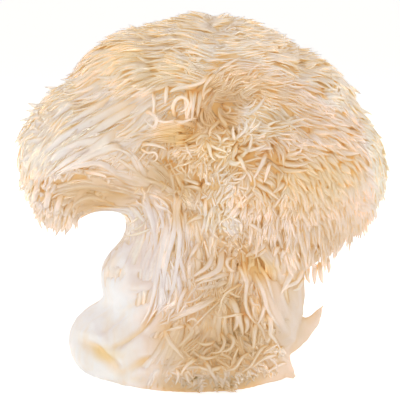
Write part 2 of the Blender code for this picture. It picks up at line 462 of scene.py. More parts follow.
DRAWN_FOLDS = all_drawn(
    DrawnFold,
    (1.15, -2.5, (-35.7, 16.3), (-31.2, 17.3), (-26.7, 20.5), (-22.2, 24.0), (-18.5, 29.1),
     (-17.1, 33.6)),
    (1.15, -1.7, (-27.8, 35.7), (-23.7, 36.6), (-18.3, 37.8)),
    (1.15, -1.4, (-28.6, 33.3), (-23.7, 34.5), (-18.2, 35.4)),
    (1.15, -1.4, (-31.5, 29.4), (-27.4, 31.8), (-21.5, 33.0)),
    (2.2, -3.3, (-45.2, 18.7), (-42.4, 16.9), (-38.6, 14.2), (-34.9, 10.3), (-31.8, 6.6)),
    (1.15, -2.0, (-24.8, 10.5), (-21.5, 11.8), (-17.7, 11.5)),
    (1.15, -1.2, (-35.3, 43.7), (-31.9, 44.3), (-28.9, 44.0)),
    (1.15, -1.2, (-25.9, 44.0), (-22.2, 42.4), (-18.5, 42.0)),
    (1.15, -1.4, (-22.2, 21.2), (-18.5, 20.8), (-14.7, 21.3)),
    (1.2, -1.0, (-40.1, 20.2), (-35.7, 23.1), (-31.2, 26.9), (-28.2, 29.1)),
    (1.2, -1.5, (-29.7, 6.7), (-23.7, 9.7), (-18.5, 8.2)),
    (2.4, 2.0, (-28.9, 39.6), (-24.5, 38.8), (-18.5, 39.6)),
    (2.0, 1.7, (-40.1, 24.6), (-34.9, 28.4), (-30.4, 32.1), (-23.7, 35.8)),
    (2.2, 2.0, (-36.4, 20.2), (-31.2, 23.1), (-25.9, 26.9), (-20.7, 31.4)),
    (2.4, 2.2, (-31.2, 14.2), (-25.9, 17.2), (-20.7, 21.7), (-16.2, 27.6)),
    (2.0, 1.7, (-44.6, 20.2), (-39.4, 20.2), (-36.4, 17.2), (-35.7, 12.7)),
    (2.2, 2.0, (-49.1, 17.2), (-45.4, 11.2), (-38.6, 6.7), (-30.4, 3.0)),
    (1.6, 1.4, (-28.9, 4.5), (-23.7, 7.5), (-16.2, 9.7)),
    (1.8, 1.7, (-27.8, 47.8), (-27.4, 43.3), (-27.3, 39.6)),
    (1.6, 1.5, (-34.2, 47.0), (-31.2, 49.3), (-28.9, 53.8)),
    (2.6, 2.8, (19.2, 44.5), (22.3, 39.6), (24.2, 33.3), (27.9, 26.5), (31.7, 20.9), (33.2, 17.8)),
    (2.0, 1.5, (26.1, 42.1), (27.9, 36.5), (29.8, 30.9), (32.9, 25.3)),
    (1.6, 1.2, (32.3, 39.6), (33.5, 34.0), (36.0, 29.0), (37.9, 25.3)),
    (1.4, 1.2, (29.8, 12.8), (31.7, 9.1), (33.2, 5.4)),
    (1.2, -1.7, (24.8, 41.4), (26.4, 35.2), (28.9, 29.0), (32.3, 22.8)),
    (1.2, -1.4, (30.4, 40.2), (31.7, 34.0), (34.2, 29.0)),
    (3.0, -3.6, (21.1, 48.9), (25.4, 45.8), (31.0, 42.7)),
    (1.4, -1.8, (17.4, 41.4), (20.5, 35.2), (22.3, 30.2), (23.6, 25.3)),
    (1.15, -1.4, (24.2, 20.3), (27.9, 16.5), (30.4, 13.4)),
    (1.15, 0.8, (36.6, 20.3), (40.4, 24.6), (43.2, 29.0)),
)


class Skin:
    """The surface that strands grow from and lie along, in mm."""

    def __init__(self, mesh: bpy.types.Mesh) -> None:
        """Reads the surface of a mesh whose vertices are in metres."""
        places = [vert.co / MM for vert in mesh.vertices]
        self.tree = BVHTree.FromPolygons(places, [tuple(face.vertices) for face in mesh.polygons])
        self.centres = [(face.center / MM, face.normal.copy()) for face in mesh.polygons]

    def nearest(self, place: Vector) -> tuple[Vector, Vector]:
        """Returns the place on the skin that is nearest to a place, and the normal there."""
        found, normal, _, _ = self.tree.find_nearest(place)
        return found, normal


@dataclass
class Flesh:
    """The body under the mane: the lobe's underside, the trunk, the foot, its flange and horn."""

    combing: "Combing"
    border: "ManeBorder"
    name: str = "flesh_body"
    voxel: float = 2.2
    melt_passes: int = 16
    lump_detail: int = 4
    hollow_detail: int = 3
    skin_voxel: float = 0.86
    skin_passes: int = 4
    pucker_depth: float = 0.35
    pucker_size: float = 7.0
    ridge_height: float = 0.6
    ridge_contrast: float = 2.4
    ridge_calm: float = 0.85
    sway: float = 2.0
    sway_size: float = 14
    upright_size: Triple = (2.6, 2.6, 26)
    around_size: Span = (2.8, 5.0)
    around_turns: float = 1.6
    bent: Fade = Fade(x=(0, -16), z=(52, 64))
    bulge: Fade = Fade(x=(-14, -20), y=(8, -2), z=(48, 40))
    flange: Fade = Fade(x=(18, 24))
    mane_inset: float = 0.7
    # How deep a drawn crease sinks for full painted shade in it.
    amber_depth: float = 2.2
    fold_facing: float = 0.3
    # Painted shade on the trunk's front under the head, and how strong it is.
    core: Fade = Fade(x=(-18, -12), y=(0, -8), z=(84, 76))
    core_right: Fade = Fade(x=(24, 18))
    core_cover: float = 0.7
    objects: list[bpy.types.Object] = field(default_factory=list, init=False)

    def melt(self) -> bpy.types.Object:
        """Adds the lumps, melts them into one skin and scoops the hollows out of it."""
        body = joined([lump.build(self.lump_detail) for lump in LUMPS])
        body.name = self.name
        body.data.name = self.name
        apply_modifier(body, "REMESH", mode="VOXEL", voxel_size=self.voxel * MM)
        apply_modifier(body, "SMOOTH", iterations=self.melt_passes)
        for hollow in HOLLOWS:
            cutter = hollow.build(self.hollow_detail)
            apply_modifier(body, "BOOLEAN", operation="DIFFERENCE", object=cutter)
            bpy.data.objects.remove(cutter)
        return body

    def add_points(self, body: bpy.types.Object) -> None:
        """Grows the torn flange's horn and the foot's corner out of the foot.

        Args:
            body: The melted body, which they are joined to.
        """
        joined([body, *(bead for point in TORN_POINTS for bead in point.build())])
        apply_modifier(body, "REMESH", mode="VOXEL", voxel_size=self.skin_voxel * MM)
        apply_modifier(body, "SMOOTH", iterations=self.skin_passes)

    def drawn_relief(self, places: np.ndarray, normals: np.ndarray) -> np.ndarray:
        """How far the folds that are drawn in the picture plane lift each place."""
        seen = VIEWER.seen(places)
        front = np.clip(-normals[:, 1] / self.fold_facing, 0, 1)
        return sum(fold.rise(seen) for fold in DRAWN_FOLDS) * front

    def relief(self, places: np.ndarray, normals: np.ndarray) -> np.ndarray:
        """How far the skin is moved out at each place, by its folds, fibres and puckers.

        Args:
            places: One place a row, in mm.
            normals: The normal at each place.

        Returns:
            The lift at each place, in mm.
        """
        lift = np.zeros(len(places))
        for fold in FOLDS:
            lift += fold.rise(places)
        for i, (place, normal) in enumerate(zip(places, normals)):
            place = Vector(place)
            lift[i] += self.pucker_depth * noise.noise(place / self.pucker_size)
            lift[i] += self.fibre_ridge(place)
            if self.border.holds(place, Vector(normal)):
                lift[i] -= self.mane_inset
        return lift

    def fibre_ridge(self, place: Vector) -> float:
        """The soft ridges of fused fibres, up the trunk and round the arch."""
        x, y, z = place
        turn = math.atan2(z - self.combing.arch.z, x - self.combing.arch.x)
        gap = math.hypot(z - self.combing.arch.z, x - self.combing.arch.x)
        sway = self.sway * noise.noise(place / self.sway_size)
        wide, deep, tall = self.upright_size
        upright = Vector(((x + sway) / wide, y / deep, z / tall))
        wide, deep = self.around_size
        around = Vector(((gap + sway) / wide, y / deep, turn * self.around_turns))
        grain = noise.noise(upright.lerp(around, self.bent.at(place)))
        ridge = 1 - self.ridge_contrast * abs(grain)
        smooth = max(self.bulge.at(place), self.flange.at(place))
        return self.ridge_height * ridge * (1 - self.ridge_calm * smooth)

    def sculpt(self, body: bpy.types.Object) -> None:
        """Presses the folds into the skin, sinks it where spines grow, and stores the painted shade of
        each place.
        """
        mesh = body.data
        places, normals = np.empty((2, len(mesh.vertices) * 3))
        mesh.vertices.foreach_get("co", places)
        mesh.vertices.foreach_get("normal", normals)
        places, normals = places.reshape(-1, 3), normals.reshape(-1, 3)
        drawn = self.drawn_relief(places / MM, normals)
        lift = self.relief(places / MM, normals) + drawn
        moved = places + normals * lift[:, None] * MM
        mesh.vertices.foreach_set("co", moved.ravel())
        # Painted shade: full under the spines, some under the head, and in the drawn creases.
        painted_shade = [self.covered(Vector(p / MM), Vector(n)) for p, n in zip(places, normals)]
        # Painted shade in the drawn creases, deeper as they sink.
        painted_shade = np.maximum(painted_shade, np.clip(-drawn / self.amber_depth, 0, 1))
        mesh.attributes.new("painted_shade", "FLOAT", "POINT").data.foreach_set("value", painted_shade)
        mesh.update()

    def covered(self, place: Vector, normal: Vector) -> float:
        """The painted shade at a place, from 0 to 1, which makes its colour deeper: full where spines
        grow, and some on the trunk's front under the head.
        """
        if self.border.holds(place, normal):
            return 1.0
        return self.core_cover * self.core.at(place) * self.core_right.at(place)

    def cut_flat(self, body: bpy.types.Object) -> None:
        """Cuts the foot off flat at the block."""
        make_active(body)
        bpy.ops.object.mode_set(mode="EDIT")
        bpy.ops.mesh.select_all(action="SELECT")
        up = (0, 0, 1)
        bpy.ops.mesh.bisect(plane_co=(0, 0, 0), plane_no=up, use_fill=True, clear_inner=True)
        bpy.ops.object.mode_set(mode="OBJECT")

    def build(self) -> Skin:
        """Makes the flesh.

        Returns:
            The smooth skin, before its folds, that strands are traced over.
        """
        body = self.melt()
        skin = Skin(body.data)
        self.add_points(body)
        self.sculpt(body)
        self.cut_flat(body)
        body.data.shade_smooth()
        self.objects = [body]
        return skin

    def dress(self, material: bpy.types.Material) -> None:
        for body in self.objects:
            body.data.materials.clear()
            body.data.materials.append(material)
            declare(body)


# How the mane is combed


def along_skin(flow: Vector, normal: Vector) -> Vector:
    """Lays a direction down along the skin."""
    return (flow - normal * flow.dot(normal)).normalized()


def turned(flow: Vector, normal: Vector, angle: float) -> Vector:
    """Turns a direction that lies along the skin about the skin's normal."""
    return flow * math.cos(angle) + normal.cross(flow) * math.sin(angle)


@dataclass(frozen=True)
class CombMark:
    """The direction that the spines lie in round one place of the front."""

    x: float
    z: float
    degrees: float
    reach: float = 13

    def pull(self, place: Vector) -> Vector:
        """The mark's pull on a place, which fades away from it."""
        gap = math.hypot(place.x - self.x, place.z - self.z) / self.reach
        turn = math.radians(self.degrees)
        return Vector((math.cos(turn), 0, math.sin(turn))) * math.exp(-gap * gap)


COMB_MARKS = tuple(
    CombMark(*row)
    for row in (
        (-19, 125, 190, 13), (-33, 118, 200, 13), (-44, 109, 208, 12), (-56, 101, 215, 11),
        (-5, 127, 182, 11), (11, 126, 8, 11), (-15, 116, 186, 10), (-3, 119, 182, 8),
        (6, 119, 18, 8), (18, 120, 14, 11), (30, 120, -6, 11), (40, 111, -25, 11),
        (51, 101, -20, 11), (62, 87, -18, 11), (66, 72, -40, 11), (44, 93, -56, 12),
        (50, 75, -66, 12), (34, 74, -84, 12), (51, 57, -84, 11), (36, 59, -92, 11),
        (27, 90, -66, 9), (18, 82, -80, 9), (16, 71, -84, 9), (22, 104, -6, 8), (34, 99, -45, 9),
        (15, 111, 22, 9), (11, 115, 22, 7), (-5, 108, -95, 5), (-13, 108, 215, 8),
        (-22, 105, 207, 9), (-12, 98, 192, 8), (-3, 97, 232, 5), (-29, 99, 209, 10),
        (-41, 95, 208, 10), (-52, 89, 226, 10), (-60, 76, 256, 9), (-62, 65, 268, 9),
        (-51, 65, 254, 8), (-40, 86, 214, 9), (-50, 76, 244, 8), (6, 94, -60, 5), (4, 82, -88, 6),
        (5, 68, -92, 7), (13, 61, -84, 7), (29, 49, -88, 8), (-19, 86, 200, 8),
    )
)


@dataclass(frozen=True)
class Combing:
    """The direction that the mane is combed in, place by place."""

    marks: tuple[CombMark, ...] = COMB_MARKS
    parting_x: float = 2.0
    parting_width: float = 12
    parting_pull: float = 0.35
    backward: float = 0.5
    droop: float = 0.55
    arch: Vector = Vector((-38, 0, 62))
    arch_pull: float = 0.8
    lobe: Fade = Fade(x=(-8, -26), z=(122, 92))
    front: Fade = Fade(y=(16, -2))
    crown: Fade = Fade(z=(84, 118))
    least_pull: Vector = Vector((0, 0, -1e-4))

    def round_arch(self, place: Vector) -> Vector:
        """The direction from the trunk over the arch and down to the lobe's tip."""
        x, _, z = place
        return Vector((self.arch.z - z, 0, x - self.arch.x)).normalized()

    def behind(self, place: Vector) -> Vector:
        """The combing of the hidden side: parted at the crown, then hanging down."""
        high = self.crown.at(place)
        side = math.tanh((place.x - self.parting_x) / self.parting_width)
        aside = side * (self.parting_pull + high)
        flow = Vector((aside, self.backward * high, -self.droop * (2 - high)))
        lobe = self.arch_pull * self.lobe.at(place)
        return flow.normalized().lerp(self.round_arch(place), lobe)

    def direction(self, place: Vector, normal: Vector) -> Vector:
        """The combing at one place.

        Args:
            place: The place on the skin.
            normal: The skin's normal there.

        Returns:
            A unit direction along the skin.
        """
        flow = self.behind(place)
        front = self.front.at(place)
        if front:
            pulls = sum((mark.pull(place) for mark in self.marks), self.least_pull)
            flow = flow.lerp(pulls.normalized(), front)
        return along_skin(flow, normal)


@dataclass(frozen=True)
class ManeBorder:
    """Where the mane grows: above its lower edge, and not on the lobe's bare inner side."""

    edge: tuple[Span, ...] = (
        *((-60, 48), (-51, 58), (-48, 68), (-44, 78), (-36, 84), (-22, 87), (-14, 84), (-4, 82)),
        *((1, 64), (10, 68), (16, 66), (22, 59), (28, 52), (34, 49), (60, 46)),
    )
    edge_behind: float = 54
    behind_y: float = 8
    inner_x: float = -20
    inner_z: float = 84
    inner_facing: float = 0.3
    lowest_facing: float = -0.8
    hem_x: float = 22

    def height(self, place: Vector) -> float:
        """The height of the mane's lower edge at a place."""
        if place.y > self.behind_y:
            return self.edge_behind
        for (x0, z0), (x1, z1) in zip(self.edge, self.edge[1:]):
            if place.x < x1:
                return mixed(z0, z1, max((place.x - x0) / (x1 - x0), 0.0))
        return self.edge[-1][1]

    def holds(self, place: Vector, normal: Vector) -> bool:
        """True where spines grow from the skin."""
        at_arch = place.x < self.inner_x and place.z < self.inner_z
        inner_side = at_arch and normal.x > self.inner_facing
        on_hem = place.x > self.hem_x
        if inner_side or (normal.z < self.lowest_facing and not on_hem):
            return False
        return place.z > self.height(place)


@dataclass(frozen=True)
class Habit:
    """How the tufts of one part grow, in mm and radians.

    Fused flat spines leave the root side by side, a pitch apart, and part towards their tips.
    """

    length: float
    radius: float
    flat: float
    count: float
    pitch: float
    lift: float
    spread: float
    curl: float
    splay: float
    jag: float
    hang: float
    sink: float = -2.2
    stray: float = 0.7
    wave: float = 0.2

    def blended(self, other: "Habit", share: float) -> "Habit":
        """Returns the habit at this share of the way to another one."""
        pairs = [(getattr(self, f.name), getattr(other, f.name)) for f in fields(self)]
        return Habit(*[mixed(a, b, share) for a, b in pairs])


class Growth(Enum):
    """The habits: length, radius, flat, count, pitch, lift, spread, curl, splay, jag and hang.

    Where more is given, it is the sink, the stray and the wave.
    """

    SHAGGY = Habit(11.0, 0.38, 2.4, 6, 1.05, 2.7, 0.48, 0.85, 0.55, 0.50, 5, -1.1)
    DOME = Habit(10.0, 0.38, 2.2, 5, 1.10, 3.2, 0.55, 1.10, 0.70, 0.50, 5, -1.1, 1.0, 0.35)
    PETAL = Habit(12.0, 0.42, 2.9, 4, 1.45, 2.0, 0.38, 0.60, 0.45, 0.50, 5, -1.0)
    CROWN = Habit(15.0, 0.37, 2.7, 6, 1.20, 2.1, 0.22, 0.35, 0.12, 0.40, 3, -1.3)
    FINE = Habit(15.0, 0.36, 1.9, 6, 0.95, 1.4, 0.16, 0.40, 0.20, 0.45, 3, -1.2, 0.4)
    CALM = Habit(13.0, 0.42, 1.8, 5, 1.05, 0.6, 0.22, 0.40, 0.20, 0.40, 3, -1.2, 0.5)
    SWEPT = Habit(30.0, 0.48, 3.0, 5, 1.70, 0.8, 0.09, 0.20, 0.05, 0.35, 3, -0.6, 0.5)
    FRINGE = Habit(9.5, 0.42, 2.2, 5, 1.10, 2.6, 0.25, 0.35, 0.25, 0.40, 4, -1.6)
    CURLY = Habit(10.0, 0.50, 1.4, 4, 1.10, 3.2, 0.70, 1.50, 0.70, 0.35, 4, -1.6, 1.4, 0.3)
    HEM = Habit(14.0, 0.40, 2.1, 6, 1.05, 2.2, 0.26, 0.60, 0.40, 0.50, 11, -1.6)
    LOBE_TIP = Habit(11.0, 0.55, 2.0, 4, 1.40, 1.4, 0.12, 0.25, 0.15, 0.35, 6, -1.8)
    BAND = Habit(34.0, 0.45, 3.6, 3, 2.10, 0.4, 0.05, 0.10, 0.05, 0.35, 0, -0.6, 0.6, 0.3)
    FIBRE = Habit(38.0, 0.70, 2.2, 3, 1.90, 1.0, 0.07, 0.22, 0.20, 0.40, 0, -0.6, 1.0, 0.5)
    THREAD = Habit(17.0, 0.42, 1.2, 2, 2.00, 3.2, 0.60, 1.20, 1.20, 0.30, 4, -0.8, 2.0, 0.8)
    VEIL = Habit(18.0, 0.36, 2.3, 6, 0.95, 1.8, 0.25, 0.80, 0.60, 0.45, 4, -1.0, 1.4, 0.6)
    FOOT = Habit(13.0, 0.40, 2.6, 6, 1.10, 2.0, 0.50, 1.10, 0.40, 0.45, 3, -1.0, 1.0, 0.5)


@dataclass(frozen=True)
class Patch:
    """Where the mane has a habit of its own: in a fade, round a centre, or where both meet."""

    growth: Growth
    fade: Fade = Fade()
    centre: Triple | None = None
    far: float = 1
    full: float = 0

    def share(self, place: Vector) -> float:
        """How far a place belongs to the patch, from 0 to 1."""
        share = self.fade.at(place)
        if self.centre:
            share *= smooth_step(self.far, self.full, (place - Vector(self.centre)).length)
        return share


PATCHES = (
    Patch(Growth.DOME, centre=(22, -44, 92), far=26, full=14),
    Patch(Growth.PETAL, Fade(x=(24, 40))),
    Patch(Growth.CROWN, Fade(x=(36, 8), z=(96, 112))),
    Patch(Growth.FINE, Fade(z=(98, 104)), (14, -44, 108), 34, 20),
    Patch(Growth.CURLY, centre=(8, -46, 92), far=15, full=8),
    Patch(Growth.HEM, Fade(x=(-4, 2), z=(70, 62))),
    Patch(Growth.CALM, centre=(-7, -46, 104), far=15, full=8),
)


# Strands


class StrandMesh:
    """Gathers tapered strands with the same number of knots, and makes them one closed mesh.

    Each strand has a cell of its own on the mesh's map, and carries along (0 at its root, 1 at
    its tip), crest (1 along its back, 0 at its sides), tint (one chance value a strand) and
    tone (a value that its maker chose).
    """

    MARGIN = 0.12
    MAP = "OFBake"
    CELL_ASPECT = 8
    ABOVE_CUT = 0.05
    TIP_LENGTH = 1.5

    def __init__(self, name: str, knots: int, sides: int) -> None:
        """Starts an empty mesh.

        Args:
            name: The piece's name.
            knots: How many rings a strand has.
            sides: How many sides a ring has.
        """
        self.name = name
        self.knots = knots
        self.sides = sides
        self.strands: list[tuple] = []

    def __len__(self) -> int:
        """The number of strands."""
        return len(self.strands)

    def column(self, index: int) -> np.ndarray:
        """One value of every strand, by its place in what add is given."""
        return np.array([strand[index] for strand in self.strands], float)

    def add(
        self,
        points: Sequence[Vector],
        normals: Sequence[Vector],
        radii: Sequence[float],
        flat: float,
        tint: float,
        tone: float,
    ) -> None:
        """Adds one strand.

        Args:
            points: Its knots from root to tip, in mm.
            normals: The skin's normal at each knot, which its flat side faces.
            radii: Its half thickness at each knot, in mm.
            flat: Its width as a multiple of its thickness.
            tint: Its chance value from 0 to 1.
            tone: Its chosen value from 0 to 1.
        """
        self.strands.append((points, normals, radii, flat, tint, tone))

    def rings(self) -> tuple[np.ndarray, np.ndarray, np.ndarray]:
        """The vertices of every strand, ring by ring and then both poles.

        Returns:
            The vertices, and the along and the crest of one strand's.
        """
        points, normals, radii, flats = (self.column(index) for index in range(4))
        points[:, :, 2] = np.maximum(points[:, :, 2], radii + self.ABOVE_CUT)
        radii = radii[:, :, None]
        tangents = unit_rows(np.gradient(points, axis=1))
        across = unit_rows(np.cross(tangents, normals))
        up = np.cross(across, tangents)
        narrowing = 1 - np.linspace(0, 1, self.knots) ** 2
        wide = 1 + (flats[:, None, None] - 1) * narrowing[None, :, None]
        turns = np.arange(self.sides) * math.tau / self.sides
        ring = [points + radii * (across * wide * math.cos(t) + up * math.sin(t)) for t in turns]
        rings = np.stack(ring, axis=2).reshape(len(self), -1, 3)
        root = points[:, :1] - tangents[:, :1] * radii[:, :1]
        tip = points[:, -1:] + tangents[:, -1:] * radii[:, -1:] * self.TIP_LENGTH
        along = np.repeat(np.linspace(0, 1, self.knots), self.sides)
        crest = np.tile(np.maximum(np.sin(turns), 0), self.knots)
        along, crest = np.append(along, [0, 1]), np.append(crest, [0, 1])
        return np.concatenate([rings, root, tip], axis=1), along, crest

    def pattern(self) -> tuple[np.ndarray, np.ndarray, np.ndarray, np.ndarray]:
        """One strand's faces.

        Returns:
            The quads, the triangles at both poles, and the map places of the corners of each.
        """
        knots, sides = self.knots, self.sides
        last, root, tip = (knots - 1) * sides, knots * sides, knots * sides + 1
        pairs = [(j, (j + 1) % sides) for j in range(sides)]
        rows = [(low, low + sides) for low in range(0, last, sides)]
        quads = [(a + j, b + j, b + n, a + n) for a, b in rows for j, n in pairs]
        fans = [face for j, n in pairs for face in ((root, j, n), (tip, last + n, last + j))]
        quad_map, fan_map = [], []
        for k in range(1, knots):
            for j in range(sides):
                quad_map.append([(j, k), (j, k + 1), (j + 1, k + 1), (j + 1, k)])
        for j in range(sides):
            fan_map.append([(j + 0.5, 0), (j, 1), (j + 1, 1)])
            fan_map.append([(j + 0.5, knots + 1), (j + 1, knots), (j, knots)])
        size = (sides, knots + 1)
        return (
            np.array(quads),
            np.array(fans),
            np.array(quad_map, float) / size,
            np.array(fan_map, float) / size,
        )

    def laid_out(self, corners: np.ndarray) -> np.ndarray:
        """Gives each strand's corners their cell on the map.

        Args:
            corners: One strand's corner places, each from 0 to 1.

        Returns:
            The places of all strands' corners.
        """
        rows = max(1, round(math.sqrt(len(self) / self.CELL_ASPECT)))
        columns = math.ceil(len(self) / rows)
        index = np.arange(len(self))
        cell = np.stack([index % columns, index // columns], axis=1)[:, None, None]
        inner = corners[None] * (1 - 2 * self.MARGIN) + self.MARGIN
        return (cell + inner) / (columns, rows)

    def build(self) -> bpy.types.Object:
        """Makes the mesh and its object."""
        rings, along, crest = self.rings()
        quads, fans, quad_map, fan_map = self.pattern()
        offsets = (np.arange(len(self)) * rings.shape[1])[:, None, None]
        all_quads = (quads[None] + offsets).reshape(-1, 4)
        all_fans = (fans[None] + offsets).reshape(-1, 3)
        corners = np.concatenate([all_quads.ravel(), all_fans.ravel()])
        quad_starts = np.arange(len(all_quads)) * 4
        fan_starts = len(all_quads) * 4 + np.arange(len(all_fans)) * 3

        mesh = bpy.data.meshes.new(self.name)
        mesh.vertices.add(rings.shape[0] * rings.shape[1])
        mesh.vertices.foreach_set("co", (rings * MM).ravel())
        mesh.loops.add(len(corners))
        mesh.loops.foreach_set("vertex_index", corners)
        mesh.polygons.add(len(all_quads) + len(all_fans))
        mesh.polygons.foreach_set("loop_start", np.concatenate([quad_starts, fan_starts]))
        mesh.update(calc_edges=True)
        mesh.validate()

        places = np.concatenate(
            [self.laid_out(quad_map).reshape(-1, 2), self.laid_out(fan_map).reshape(-1, 2)]
        )
        mesh.uv_layers.new(name=self.MAP)
        mesh.uv_layers[self.MAP].uv.foreach_set("vector", places.ravel())
        each = rings.shape[1]
        values = {
            "along": np.tile(along, len(self)),
            "crest": np.tile(crest, len(self)),
            "tint": np.repeat(self.column(4), each),
            "tone": np.repeat(self.column(5), each),
        }
        for name, value in values.items():
            attribute = mesh.attributes.new(name, "FLOAT", "POINT")
            attribute.data.foreach_set("value", value.astype(np.float32))
        mesh.shade_smooth()
        piece = bpy.data.objects.new(self.name, mesh)
        bpy.context.scene.collection.objects.link(piece)
        return piece


def tapered(radius: float, knots: int, root: float = 0.7, sharp: float = 3.2) -> list[float]:
    """The half thickness of a spine at each knot.

    Args:
        radius: Its thickest half.
        knots: How many knots it has.
        root: How thick it starts, as a share.
        sharp: How late it narrows to its tip.

    Returns:
        One radius a knot.
    """
    swelling, bluntness, thinnest = 4, 0.75, 0.10
    found = []
    for k in range(knots):
        s = k / (knots - 1)
        body = root + (1 - root) * min(1.0, s * swelling)
        found.append(radius * body * max(1 - s**sharp, 0.0) ** bluntness + radius * thinnest)
    return found


def resampled(points: Sequence[Vector], count: int) -> list[Vector]:
    """Spreads a number of knots evenly over a line.

    Args:
        points: The line's points.
        count: How many knots to return.

    Returns:
        The knots.
    """
    found = []
    for k in range(count):
        at = k / (count - 1) * (len(points) - 1)
        i = min(int(at), len(points) - 2)
        found.append(points[i].lerp(points[i + 1], at - i))
    return found


@dataclass
class Tracer:
    """Lays strands along the skin, and lets them hang free where the skin turns under."""

    skin: Skin
    stride: float = 2.0
    underside: float = -0.25
    turning: float = 0.01
    hang_pull: float = 0.45

    def lay(
        self,
        place: Vector,
        normal: Vector,
        length: float,
        steer: Callable[[Vector, Vector, float], Vector],
        lift: Callable[[float], float],
        knots: int,
        hang: float = 0.0,
    ) -> tuple[list[Vector], list[Vector]]:
        """Lays one strand from its root.

        Args:
            place: Its root on the skin.
            normal: The skin's normal there.
            length: How long it is, in mm.
            steer: Its direction, from a place, a normal and how far along it is.
            lift: Its height over the skin, from how far along it is.
            knots: How many knots to return.
            hang: How far it may hang free, in mm, where the skin turns under.

        Returns:
            Its knots, and the normal at each.
        """
        steps = max(2, round(length / self.stride))
        step = length / steps
        points, normals = [place + normal * lift(0)], [normal]
        hung = step if hang and normal.z < self.underside else 0.0
        for k in range(1, steps + 1):
            share = k / steps
            flow = steer(place, normal, share)
            if hung:
                place = place + flow.lerp(DOWN, self.hang_pull).normalized() * step
                hung += step
            else:
                near, facing = self.skin.nearest(place + flow * step)
                if hang and facing.z < min(self.underside, normal.z - self.turning):
                    place = place + flow * step
                    hung = step
                else:
                    place, normal = near, facing
            points.append(place + normal * lift(share))
            normals.append(normal)
            if hang and hung > hang:
                break
        return resampled(points, knots), resampled(normals, knots)


def even_roots(
    skin: Skin,
    spacing: float,
    chance: random.Random,
    wanted: Callable[[Vector, Vector], bool],
) -> Iterator[tuple[Vector, Vector]]:
    """Places on the skin that lie no nearer to each other than a spacing.

    Args:
        skin: The skin to choose from.
        spacing: The least distance between two places, in mm.
        chance: The source of chance.
        wanted: Called with a place and its normal, and true where one may be.

    Yields:
        Each place and its normal.
    """
    order = list(range(len(skin.centres)))
    chance.shuffle(order)
    taken: dict[tuple[int, int, int], list[Vector]] = {}
    for i in order:
        place, normal = skin.centres[i]
        if not wanted(place, normal):
            continue
        cell = tuple(math.floor(c / spacing) for c in place)
        cells = product(*((c - 1, c, c + 1) for c in cell))
        around = (other for near in cells for other in taken.get(near, ()))
        if any((other - place).length < spacing for other in around):
            continue
        taken.setdefault(cell, []).append(place)
        yield place, normal


@dataclass
class StrandPieces:
    """A sub-assembly that is built as strand meshes. Each kind gives its own seed."""

    objects: list[bpy.types.Object] = field(default_factory=list, init=False)
    chance: random.Random = field(init=False)

    def __post_init__(self) -> None:
        """Seeds the sub-assembly's own source of chance."""
        self.chance = random.Random(self.seed)

    def dress(self, material: bpy.types.Material) -> None:
        for piece in self.objects:
            piece.data.materials.append(material)
            declare(piece)


def along_line(rows: np.ndarray, shares: np.ndarray) -> np.ndarray:
    """Reads the rows of a line at shares of its length."""
    grid = np.linspace(0, 1, len(rows))
    return np.stack([np.interp(shares, grid, column) for column in rows.T], axis=1)


